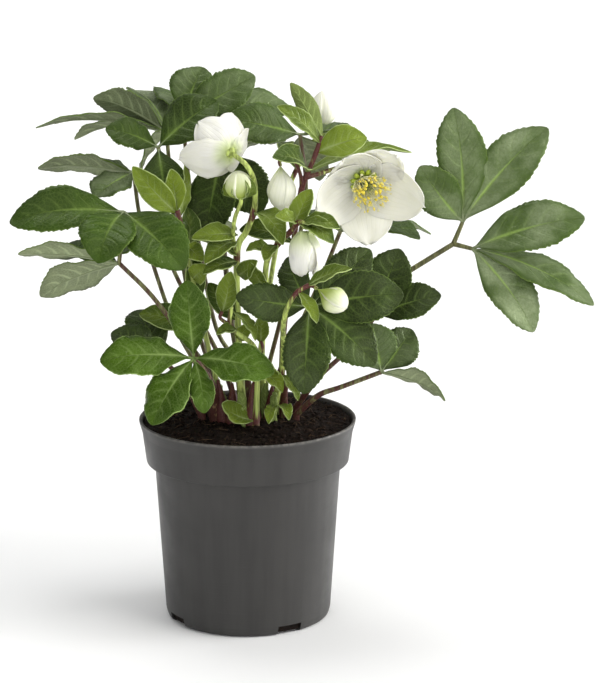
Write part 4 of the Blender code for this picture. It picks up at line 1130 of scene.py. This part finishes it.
class ROSE_OT_soil(bpy.types.Operator):
    """Fill the pot with lumpy soil and strew crumbs, fibres and dust on it"""
    bl_idname = "christmas_rose.soil"
    bl_label = "Potting Soil"

    def execute(self, context):
        props = context.scene.christmas_rose_pot
        rng = random.Random(SOIL_SEED)
        self.fill()
        self.strew_crumbs(props.crumbs, rng)
        self.strew_fibres(props.fibres, rng)
        return {"FINISHED"}

    def fill(self):
        bm = start_mesh()
        sheet(bm, soil_layout, SOIL_TOP_RINGS + len(SOIL_SIDES), SOIL_SECTORS, 0.35)
        bmesh.ops.remove_doubles(bm, verts=bm.verts, dist=MERGE_GAP)
        bmesh.ops.dissolve_degenerate(bm, edges=bm.edges, dist=MERGE_GAP / 10)
        add_closed("dressed_soil", bm, potting_soil("ground"), "soil", "soil")

    def strew_crumbs(self, count, rng):
        bm = start_mesh()
        for _ in range(count):
            size = CRUMB_RADII[0] + (CRUMB_RADII[1] - CRUMB_RADII[0]) * rng.random() ** 3
            add_crumb(bm, on_soil(rng, CRUMB_LIFT * size), size, rng, rng.random())
        for _ in range(RIM_SPECKS):
            turn = rng.uniform(0, math.tau)
            radius = rng.uniform(*RIM_SPECK_RADII)
            place = mm((radius * math.cos(turn), radius * math.sin(turn),
                        rng.uniform(*RIM_SPECK_HEIGHTS)))
            add_crumb(bm, place, rng.uniform(*RIM_SPECK_SIZES), rng, rng.uniform(0.4, 1))
        add_closed("soil_crumbs", bm, potting_soil("crumb"), "soil")

    def strew_fibres(self, count, rng):
        bm = start_mesh()
        for _ in range(count):
            place = on_soil(rng, FIBRE_LIFT)
            turn = rng.uniform(0, math.tau)
            length = rng.uniform(*FIBRE_LENGTHS)
            reach = Vector((math.cos(turn), math.sin(turn), 0)) * length * MM
            bow = Vector((-reach.y, reach.x, 0)) * rng.uniform(-FIBRE_BOW, FIBRE_BOW)
            lift = Vector((0, 0, rng.uniform(*FIBRE_RISES) * MM))
            route = smooth_route([place, place + reach * 0.5 + bow + lift, place + reach], 3)
            if math.hypot(*route[-1].xy) < FIBRE_END_RADIUS * MM:
                tube(bm, route, tapered(FIBRE_RADIUS, FIBRE_RADIUS), 3, rng.random())
        add_closed("soil_fibres", bm, potting_soil("fibre"), "soil")


def rooted_route(root, bends, steps):
    """A route that stands straight in the soil and then runs through its bends"""
    x, y = root
    ground = soil_height(x, y)
    start = mm((x, y, ground + ROOT_RISE))
    foot = mm((x, y, ground - ROOT_DEPTH))
    return [foot, start * 0.5 + foot * 0.5, *smooth_route([start, *bends], steps)]


def sheathed(first, last, foot=0.3, fade=0.2):
    """A stalk's radius: wider where it clasps the crown, and then evenly finer"""
    bare = tapered(first, last)
    return lambda share: bare(share) * (1 + foot * (1 - smooth_step(0, fade, share)))


def route_length(route):
    return sum((there - here).length for here, there in zip(route, route[1:]))


def near(places, reach, base=0.0):
    """How close a point is to the nearest of some places, 1 there and base far away"""
    def closeness(point):
        gap = min((point - place).length for place in places)
        return base + (1 - base) * math.exp(-(gap / reach) ** 2)

    return closeness


class ROSE_OT_fronds(bpy.types.Operator):
    """Grow the fronds: their stalks, and leaflets with teeth, veins and waved margins"""
    bl_idname = "christmas_rose.fronds"
    bl_label = "Fronds"

    def execute(self, context):
        for name in STALKS:
            self.grow(name, context.scene.christmas_rose_plant)
        return {"FINISHED"}

    def grow(self, name, props):
        rng = random.Random(name)
        tone, blush, film = FROND_TONES[name]
        young = name == "frond_young"
        kind, skin, prefix = ("young", "young", "young_") if young else ("adult", "petiole", "")
        root, bends, radius, tip_radius = STALKS[name]
        bends = [mm(bend) for bend in bends]
        arms = {key: mm(place) for key, place in ARMS.get(name, {}).items()}
        feet = {"stalk": bends[-1], **arms}
        route = rooted_route(root, bends, 8)

        stalks = start_mesh()
        fade = min(1, (ROOT_DEPTH + STALK_FOOT_REACH) * MM / route_length(route) * 1.7)
        thick = sheathed(radius, tip_radius, STALK_FEET.get(name, 0.3), fade)
        tube(stalks, route, thick, STALK_SIDES, 0.5, near([route[2]], CROWN_BLUSH_REACH, blush))
        for place in arms.values():
            arm = smooth_route([bends[-1], bends[-1].lerp(place, 0.5), place], 4)
            tube(stalks, arm, tapered(tip_radius, tip_radius * 0.8), BRANCH_SIDES, 0.5, blush)

        blades = start_mesh()
        wave = props.young_wave if young else props.leaf_wave
        tooth = props.tooth_size * (0.5 if young else 1)
        for start, tip, width, face, arch in LEAFLETS[name]:
            foot, tip = feet[start], mm(tip)
            base = foot + (tip - foot).normalized() * LEAF_FOOT * MM
            place = leaf_layout(base, tip, width * MM, Vector(face), arch, kind, wave, tooth,
                                rng)
            shade = min(1, max(0, tone + rng.uniform(-TONE_SPREAD, TONE_SPREAD)))
            film_and_sheen_here = film * rng.uniform(1 - FILM_AND_SHEEN_SPREAD, 1 + FILM_AND_SHEEN_SPREAD)
            # A blade's blush attribute carries its share of grey film and painted sheen
            sheet(blades, place, *BLADE_GRID, shade, film_and_sheen_here)
            tube(stalks, rib_route(foot, place, LEAF_RIB_REACH), tapered(*LEAF_RIB_RADII), 8,
                 RIB_SHADE, blush * RIB_BLUSH)
        add_blades(f"{name}_blades", blades, props.leaf_thickness,
                   [blade_face(kind), blade_back(kind)], prefix + "leaf", f"{name}_leaflets")
        add_closed(f"{name}_stem", stalks, stalk_skin(skin), prefix + "petiole",
                   f"{name}_stalk")


def carrying_route(bends, flower):
    """Bends in metres that end square under the flower or bud that they carry"""
    route = [mm(bend) for bend in bends]
    if flower:
        foot, axis = {**FLOWERS, **BUDS, **HALF_OPEN}[flower][:2]
        route += [mm(foot) - Vector(axis).normalized() * FLOWER_NECK * MM, mm(foot)]
    return route


def sheath_layout(root, reach, height, route, rng):
    """Layout of a scale that clasps the foot of a stem and ends in a free pointed tip"""
    foot = soil_height(*root) - 1
    turn = rng.uniform(-2.4, -0.8)
    lean = rng.uniform(0.6, 1.2)

    def place(u, v):
        rise = (foot + height * u) * MM
        centre = min(route, key=lambda point: abs(point.z - rise))
        swing = turn + v * (1.5 - 1.25 * u ** 1.5)
        out = reach * (0.62 - 0.1 * u) + lean * 2.2 * u ** 3 + 0.3 * math.sin(9 * v + 5 * u)
        return Vector((centre.x + out * MM * math.cos(swing),
                       centre.y + out * MM * math.sin(swing), rise))

    return place


class ROSE_OT_stems(bpy.types.Operator):
    """Grow the flower stems with their swollen joints, branches and bracts"""
    bl_idname = "christmas_rose.stems"
    bl_label = "Flower Stems"

    def execute(self, context):
        for name in STEMS:
            self.grow(name, context.scene.christmas_rose_plant)
        return {"FINISHED"}

    def grow(self, name, props):
        rng = random.Random(name)
        root, bends, radius, tip_radius, flower = STEMS[name]
        route = rooted_route(root, carrying_route(bends, flower), 6)
        branches = BRANCHES.get(name, [])
        joints = [mm(row[0]) for row in (*branches, *BRACTS[name])]
        flush = near(joints, JOINT_BLUSH_REACH, STEM_BLUSH.get(name, 0.0))
        thick = sheathed(radius, tip_radius)
        last = len(route) - 1

        def knotted(share):
            gap = min((route[round(share * last)] - joint).length for joint in joints)
            return thick(share) * (1 + 0.22 * math.exp(-(gap / JOINT_REACH) ** 2))

        stems = start_mesh()
        tube(stems, route, knotted, STALK_SIDES, 0.5, flush)
        for start, way, branch_radius, branch_flower in branches:
            tube(stems, smooth_route([mm(start), *carrying_route(way, branch_flower)], 5),
                 lambda share: branch_radius * (1 + 0.4 * math.exp(-9 * share)),
                 BRANCH_SIDES, 0.5, flush)
        for stub, top, thickness in STUBS.get(name, []):
            tube(stems, rooted_route(stub, [mm(top)], 8),
                 lambda share: thickness * (1.15 - 0.95 * share ** 1.6), STALK_SIDES, 0.5, 1.0)

        bracts = start_mesh()
        for rows, tooth, radii in ((BRACTS[name], 0.25, BRACT_RIB_RADII),
                                   (SPROUTS.get(name, []), 0.15, SPROUT_RIB_RADII)):
            for base, tip, width, face, arch, tone in rows:
                place = leaf_layout(mm(base), mm(tip), width * MM, Vector(face), arch, "bract",
                                    props.bract_wave, props.tooth_size * tooth, rng)
                sheet(bracts, place, *BRACT_GRID, tone)
                tube(stems, rib_route(mm(base), place, BRACT_RIB_REACH), tapered(*radii), 6,
                     RIB_SHADE)
        if name in SHEATHS:
            clasp = sheath_layout(root, *SHEATHS[name], route, rng)
            sheet(bracts, clasp, *SHEATH_GRID, rng.uniform(0.3, 0.9))
        add_blades(f"{name}_bracts", bracts, props.leaf_thickness,
                   [blade_face("bract"), blade_back("bract")], "stem")
        add_closed(f"{name}_shoot", stems, stalk_skin("stem"), "stem", name)


def flower_axes(axis):
    """Three unit vectors, the third along the way that a flower looks"""
    third = Vector(axis).normalized()
    first = third.orthogonal().normalized()
    return first, third.cross(first), third


def on_flower(foot, axes, radius, turn, height):
    """A point at a radius, a turn and a height in millimetres round the flower's axis"""
    first, second, third = axes
    outward = first * math.cos(turn) + second * math.sin(turn)
    return foot + (outward * radius + third * height) * MM


def sepal_half_width(u):
    """Half the sepal's outline, 0 to 1, with a narrow foot and a blunt tip"""
    return max(0.1, max(0, math.sin(math.pi * u ** 0.98)) ** 0.5)


def sepal_layout(foot, axes, turn, length, width, opening, bend, edges, rng):
    """Layout of a ruffled sepal that bends in round the flower's axis, with each of its edges
    over or under its neighbour's"""
    reach = length / bend
    phase = rng.uniform(0, math.tau)
    curl = rng.uniform(-0.5, 0.9)

    def place(u, v):
        angle = opening - bend * u
        radius = SEPAL_FOOT_RADIUS + reach * (math.cos(angle) - math.cos(opening))
        height = SEPAL_FOOT_HEIGHT + reach * (math.sin(opening) - math.sin(angle))
        wrap = max(radius, SEPAL_WRAP_RADIUS)
        edge = phase + (2 if v > 0 else 0)
        across = width / 2 * sepal_half_width(u) * v
        across *= 1 + 0.17 * noise.noise(Vector((u * 5, edge, phase)))
        lap = SEPAL_LAP * across ** 2 / width * edges[1 if v > 0 else 0]
        swing = across / wrap
        inward = wrap * (1 - math.cos(swing)) + lap * math.cos(angle)
        side = wrap * math.sin(swing)
        frill = 1.2 * abs(v) ** 3 * math.sin(10 * u + edge) * u
        frill += curl * smooth_step(0.7, 1, u) + 0.8 * math.cos(7 * v + phase) * u ** 4
        frill += 0.8 * noise.noise(Vector((u * 3.5, v * 2.5, phase))) * (1 - v * v)
        ragged = 0.9 * math.exp(-(v / 0.3) ** 2) + 0.9 * math.cos(6 * v + phase)
        ragged += noise.noise(Vector((v * 5, phase, 4)))
        out = math.hypot(radius - inward, side) + ragged * u ** 8 - frill * math.cos(angle)
        return on_flower(foot, axes, out, turn + math.atan2(side, radius - inward),
                         height + (lap + frill) * math.sin(angle))

    return place


def add_sepals(bm, foot, axes, lengths, width, opening, bend, spin, grid, rng, shade):
    """A whorl of sepals with lapped edges, with the angles in degrees"""
    for index, (length, edges) in enumerate(zip(lengths, SEPAL_EDGES)):
        turn = math.radians(spin) + math.tau * index / len(lengths)
        place = sepal_layout(foot, axes, turn, length, width, math.radians(opening),
                             math.radians(bend), edges, rng)
        sheet(bm, place, *grid, shade())


def add_bead(bm, place, way, width, length, shade):
    """A long round bead that lies along a way"""
    verts = bmesh.ops.create_uvsphere(bm, u_segments=8, v_segments=6, radius=MM)["verts"]
    shades = bm.verts.layers.float["shade"]
    for vert in verts:
        vert[shades] = shade
    turn = way.to_track_quat("Z", "Y").to_matrix()
    bmesh.ops.transform(bm, matrix=(turn @ Matrix.Diagonal((width, width, length))).to_4x4(),
                        verts=verts)
    bmesh.ops.translate(bm, vec=place, verts=verts)


class ROSE_OT_blooms(bpy.types.Operator):
    """Open the flowers: lapped sepals, nectaries, stamens and pistils"""
    bl_idname = "christmas_rose.blooms"
    bl_label = "Open Flowers"

    def execute(self, context):
        for name, (foot, axis, *form) in FLOWERS.items():
            rng = random.Random(name)
            foot, axes = mm(foot), flower_axes(axis)
            self.sepals(name, foot, axes, form, context.scene.christmas_rose_plant, rng)
            self.receptacle(name, foot, axes)
            self.nectaries(name, foot, axes)
            self.stamens(name, foot, axes, rng)
            self.pistils(name, foot, axes)
        return {"FINISHED"}

    def sepals(self, name, foot, axes, form, props, rng):
        bm = start_mesh()
        add_sepals(bm, foot, axes, *form, SEPAL_GRID, rng, rng.random)
        add_blades(f"{name}_petals", bm, props.sepal_thickness,
                   [petal("inside"), petal("outside")], "sepal", f"{name}_sepals")

    def receptacle(self, name, foot, axes):
        bm = start_mesh()
        route = [on_flower(foot, axes, 0, 0, height) for height in RECEPTACLE_HEIGHTS]
        tube(bm, route, lambda share: 1.5 + 1.6 * math.sin(math.pi * min(1, share + 0.15)), 16)
        add_closed(f"{name}_receptacle", bm, stalk_skin("stem"), "stem")

    def nectaries(self, name, foot, axes):
        bm = start_mesh()
        for index in range(NECTARY_COUNT):
            turn = math.tau * index / NECTARY_COUNT
            route = [on_flower(foot, axes, radius, turn, height)
                     for radius, height in NECTARY_PLACES]
            tube(bm, route, lambda share: 0.55 + 0.75 * math.sin(2.2 * share), 9)
        add_closed(f"{name}_nectary_ring", bm, flower_heart("nectary"), "nectary",
                   f"{name}_nectaries")

    def stamens(self, name, foot, axes, rng):
        threads, beads = start_mesh(), start_mesh()
        droop = max(0.0, -axes[2].y)
        for index in range(STAMEN_COUNT):
            turn = STAMEN_TURN * index
            spread = math.sqrt((index + 0.5) / STAMEN_COUNT)
            reach = rng.uniform(0.8, 1.08)
            tip_radius = STAMEN_TUFT_RADIUS + STAMEN_SPREAD * spread * reach
            tip_height = (STAMEN_HEIGHT - STAMEN_FALL * spread ** 2) * reach
            start = on_flower(foot, axes, STAMEN_FOOT_RADIUS + 0.8 * spread, turn,
                              STAMEN_FOOT_HEIGHT)
            middle = on_flower(foot, axes, (STAMEN_TUFT_RADIUS + tip_radius) / 2, turn,
                               STAMEN_BEND_HEIGHT)
            end = on_flower(foot, axes, tip_radius, turn + rng.uniform(-0.25, 0.25), tip_height)
            middle.z -= 0.7 * MM * spread * droop
            end += Vector((3.5, 0, rng.uniform(-5.5, -2.0))) * MM * spread * droop
            route = smooth_route([start, middle, end], 4)
            tube(threads, route, tapered(*FILAMENT_RADII), 5)
            way = (route[-1] - route[-2]).normalized()
            way += Vector((rng.uniform(-1, 1), rng.uniform(-1, 1), rng.uniform(-1, 1))) * 0.8
            size = rng.uniform(0.9, 1.3) - 0.45 * spread
            add_bead(beads, end, way, 0.8 * size, 1.35 * size, 0.75 * spread + 0.4 * rng.random())
        add_closed(f"{name}_filaments", threads, flower_heart("filament"), "stamen")
        add_closed(f"{name}_anthers", beads, flower_heart("anther"), "stamen",
                   f"{name}_stamens")

    def pistils(self, name, foot, axes):
        bm = start_mesh()
        for index in range(PISTIL_COUNT):
            turn = math.tau * index / PISTIL_COUNT
            route = smooth_route([on_flower(foot, axes, radius, turn, height)
                                  for radius, height in PISTIL_PLACES], 2)
            tube(bm, route, lambda share: 0.28 + 0.75 * math.exp(-((share - 0.22) / 0.24) ** 2), 9)
        add_closed(f"{name}_carpels", bm, flower_heart("pistil"), "pistil", f"{name}_pistils")


def bud_layout(foot, axes, turn, length, radius, twist, form):
    """Layout of one closed sepal of a bud, which laps over the next one"""
    span = math.tau / SEPALS * BUD_SEPAL_SPAN
    widest, foot_power, tip_power, lap = form

    def place(u, v):
        share = min(1, max(0, u))
        power = foot_power + (tip_power - foot_power) * smooth_step(0.2, 0.8, share)
        body = max(0, math.sin(math.pi * share ** widest)) ** power
        keel = 1 + 0.05 * math.cos(math.pi * v / 2)
        out = radius * body * keel * (1 + lap * v)
        out += 0.25 * noise.noise(Vector((u * 4, v * 2, turn))) * body
        narrow = 1 - 0.25 * u ** 3
        return on_flower(foot, axes, out, turn + twist * u + v * span * narrow, length * u)

    return place


class ROSE_OT_buds(bpy.types.Operator):
    """Close the buds with lapped sepals, and hang the half-open one"""
    bl_idname = "christmas_rose.buds"
    bl_label = "Buds"

    def execute(self, context):
        thickness = context.scene.christmas_rose_plant.sepal_thickness
        for name, (foot, axis, length, radius, twist, slot, skin, *form) in BUDS.items():
            bm = start_mesh()
            for index in range(SEPALS):
                turn = math.tau * index / SEPALS
                sheet(bm, bud_layout(mm(foot), flower_axes(axis), turn, length, radius, twist,
                                     form), *BUD_GRID)
            add_blades(f"{name}_closed", bm, thickness * 0.8, [bud_skin(skin)], slot, name)
        for name, (foot, axis, *form) in HALF_OPEN.items():
            bm = start_mesh()
            add_sepals(bm, mm(foot), flower_axes(axis), *form, BELL_GRID, random.Random(name),
                       lambda: 0.5)
            add_blades(f"{name}_bell", bm, thickness, [petal("bell")], "sepal", name)
        return {"FINISHED"}


class ROSE_OT_stage(bpy.types.Operator):
    """Set the camera at the photograph's angle, the pale floor and the soft studio light"""
    bl_idname = "christmas_rose.stage"
    bl_label = "Camera, Floor and Light"

    def execute(self, context):
        props = context.scene.christmas_rose_stage
        self.place_camera(context.scene, props)
        self.lay_floor(context.scene)
        self.light_room(context.scene, props)
        context.scene.view_settings.view_transform = "Standard"
        return {"FINISHED"}

    def place_camera(self, scene, props):
        data = bpy.data.cameras.new("camera")
        data.sensor_fit = "VERTICAL"
        data.sensor_height = SENSOR_HEIGHT
        data.lens = props.focal_length
        data.clip_end = 100
        camera = bpy.data.objects.new("camera", data)
        camera.location = CAMERA_PLACE
        camera.rotation_euler = (math.pi / 2 - props.camera_pitch, 0, 0)
        scene.collection.objects.link(camera)
        scene.camera = camera

    def lay_floor(self, scene):
        bm = bmesh.new()
        bmesh.ops.create_circle(bm, cap_ends=True, segments=96, radius=FLOOR_RADIUS)
        mesh = bpy.data.meshes.new("floor")
        bm.to_mesh(mesh)
        bm.free()
        mesh.materials.append(pale_floor())
        floor = bpy.data.objects.new("floor", mesh)
        scene.collection.objects.link(floor)

    def light_room(self, scene, props):
        world = bpy.data.worlds.new("studio")
        world.use_nodes = True
        background = world.node_tree.nodes["Background"]
        background.inputs["Color"].default_value = (1, 1, 1, 1)
        background.inputs["Strength"].default_value = props.sky_strength
        scene.world = world
        for name, (place, strength, spread, colour) in LAMPS.items():
            data = bpy.data.lights.new(name, "SUN")
            data.energy = strength * props.lamp_power
            data.angle = math.radians(spread)
            data.color = colour
            lamp = bpy.data.objects.new(name, data)
            lamp.location = place
            lamp.rotation_euler = Vector(place).to_track_quat("Z", "Y").to_euler()
            scene.collection.objects.link(lamp)


def colour_property(name, description, default):
    return bpy.props.FloatVectorProperty(name=name, description=description, default=default,
                                         subtype="COLOR", min=0, max=1)


def length_property(name, description, default):
    return bpy.props.FloatProperty(name=name, description=description, default=default,
                                   unit="LENGTH", min=0, precision=5)


class RosePlantProps(bpy.types.PropertyGroup):
    leaf_thickness: length_property("Leaf thickness", "Thickness of a leaflet", 0.00055)
    leaf_wave: length_property("Leaf wave", "How far a grown leaflet's margin waves", 0.0009)
    young_wave: length_property("Young wave", "How far a young leaflet's margin waves", 0.0022)
    bract_wave: length_property("Bract wave", "How far a bract's margin waves", 0.0006)
    tooth_size: length_property("Tooth size", "Depth of a leaflet's teeth", 0.0011)
    sepal_thickness: length_property("Sepal thickness", "Thickness of a sepal", 0.0004)
    leaf_dark: colour_property("Dark leaf", "Green of the oldest leaflets", (0.009, 0.017, 0.003))
    leaf_light: colour_property("Light leaf", "Green of the fresher leaflets",
                                (0.029, 0.064, 0.004))
    vein_colour: colour_property("Veins", "Pale veins of a grown leaflet", (0.185, 0.275, 0.060))
    # Grey of the film on the older leaflets, which also paints their sheen
    film: colour_property("Film", "Grey film on the older leaflets", (0.270, 0.325, 0.185))
    underside: colour_property("Underside", "Back of a grown leaflet", (0.235, 0.275, 0.150))
    young_dark: colour_property("Dark young leaf", "Deeper green of the young frond",
                                (0.017, 0.042, 0.002))
    young_light: colour_property("Light young leaf", "Lighter green of the young frond",
                                 (0.068, 0.134, 0.009))
    young_vein: colour_property("Young veins", "Veins and margin of the young frond",
                                (0.300, 0.420, 0.130))
    young_underside: colour_property("Young underside", "Back of a young leaflet",
                                     (0.190, 0.270, 0.080))
    bract_dark: colour_property("Dark bract", "Deeper green of the bracts", (0.030, 0.058, 0.006))
    bract_light: colour_property("Light bract", "Lighter green of the bracts",
                                 (0.190, 0.260, 0.025))
    bract_margin: colour_property("Bract margin", "Veins and margin of the bracts",
                                  (0.400, 0.490, 0.190))
    bract_underside: colour_property("Bract underside", "Back of a bract", (0.220, 0.290, 0.075))
    petiole: colour_property("Leaf stalk", "Olive brown of a leaf stalk", (0.096, 0.096, 0.030))
    petiole_blush: colour_property("Leaf stalk blush", "Red brown of an old stalk",
                                   (0.088, 0.031, 0.025))
    young_petiole: colour_property("Young stalk", "Purple of the young frond's stalk",
                                   (0.210, 0.130, 0.065))
    stem: colour_property("Flower stem", "Pale green of a flower stem", (0.300, 0.365, 0.085))
    stem_blush: colour_property("Stem joint", "Red brown of a stem's joints", (0.095, 0.024, 0.020))
    sepal: colour_property("Sepal", "White of an open flower", (0.800, 0.790, 0.700))
    sepal_vein: colour_property("Sepal vein", "Faint veins of a sepal", (0.600, 0.620, 0.430))
    sepal_foot: colour_property("Sepal foot", "Green tint at a sepal's foot",
                                (0.440, 0.560, 0.120))
    bud_green: colour_property("Bud green", "Green of a bud", (0.360, 0.460, 0.070))
    bud_white: colour_property("Bud white", "White of a bud", (0.920, 0.920, 0.740))
    nectary: colour_property("Nectary", "Green ring round the stamens", (0.380, 0.480, 0.040))
    filament: colour_property("Filament", "Threads of the stamens", (0.800, 0.780, 0.480))
    anther: colour_property("Anther", "Yellow heads of the stamens", (0.780, 0.640, 0.070))
    pistil: colour_property("Pistil", "Green middle of a flower", (0.330, 0.400, 0.070))


class RosePotProps(bpy.types.PropertyGroup):
    pot_steps: bpy.props.IntProperty(name="Pot steps", description="Faces round the pot",
                                     default=144, min=24)
    crumbs: bpy.props.IntProperty(name="Crumbs", description="Lumps strewn on the soil",
                                  default=CRUMBS, min=0)
    fibres: bpy.props.IntProperty(name="Fibres", description="Fibres strewn on the soil",
                                  default=FIBRES, min=0)
    pot_colour: colour_property("Pot", "Grey of the plastic", (0.0295, 0.0282, 0.0265))
    # Colour of the dust on the lip, which also paints its highlight
    dust_colour: colour_property("Dust", "Dry soil dust on the lip", (0.180, 0.165, 0.145))
    soil_dark: colour_property("Dark soil", "Moist soil", (0.0055, 0.0030, 0.0020))
    soil_light: colour_property("Light soil", "Drier crumbs", (0.026, 0.0155, 0.011))
    fibre_colour: colour_property("Fibre", "Pale fibres in the soil", (0.110, 0.070, 0.042))


class RoseStageProps(bpy.types.PropertyGroup):
    focal_length: bpy.props.FloatProperty(name="Focal length", description="Of the camera, in mm",
                                          default=153.5, min=10, unit="CAMERA")
    camera_pitch: bpy.props.FloatProperty(name="Pitch", description="How far it looks down",
                                          default=math.radians(13.7), subtype="ANGLE")
    floor_colour: colour_property("Floor", "Pale floor", (0.970, 0.970, 0.970))
    sky_strength: bpy.props.FloatProperty(name="Room light", description="Light from all round",
                                          default=0.3, min=0)
    lamp_power: bpy.props.FloatProperty(name="Lamps", description="Strength of the softboxes",
                                        default=1.0, min=0)


class ROSE_PT_panel(bpy.types.Panel):
    """Buttons for the pieces of the potted christmas rose"""
    bl_idname = "ROSE_PT_panel"
    bl_label = "Christmas Rose"
    bl_space_type = "VIEW_3D"
    bl_region_type = "UI"
    bl_category = "Christmas Rose"

    def draw(self, context):
        for operator in OPERATORS:
            self.layout.operator(operator.bl_idname)
        for group in GROUPS:
            box = self.layout.box()
            for key in GROUPS[group].__annotations__:
                box.prop(getattr(context.scene, group), key)


OPERATORS = (ROSE_OT_stage, ROSE_OT_pot, ROSE_OT_soil, ROSE_OT_fronds, ROSE_OT_stems,
             ROSE_OT_blooms, ROSE_OT_buds)
GROUPS = {"christmas_rose_plant": RosePlantProps, "christmas_rose_pot": RosePotProps,
          "christmas_rose_stage": RoseStageProps}


def register():
    for cls in (*GROUPS.values(), *OPERATORS, ROSE_PT_panel):
        bpy.utils.register_class(cls)
    for name, group in GROUPS.items():
        setattr(bpy.types.Scene, name, bpy.props.PointerProperty(type=group))


def unregister():
    for name in GROUPS:
        delattr(bpy.types.Scene, name)
    for cls in (ROSE_PT_panel, *OPERATORS, *GROUPS.values()):
        bpy.utils.unregister_class(cls)


def main():
    register()
    bpy.ops.christmas_rose.stage()
    bpy.ops.christmas_rose.pot()
    bpy.ops.christmas_rose.soil()
    bpy.ops.christmas_rose.fronds()
    bpy.ops.christmas_rose.stems()
    bpy.ops.christmas_rose.blooms()
    bpy.ops.christmas_rose.buds()


if __name__ == "__main__":
    main()
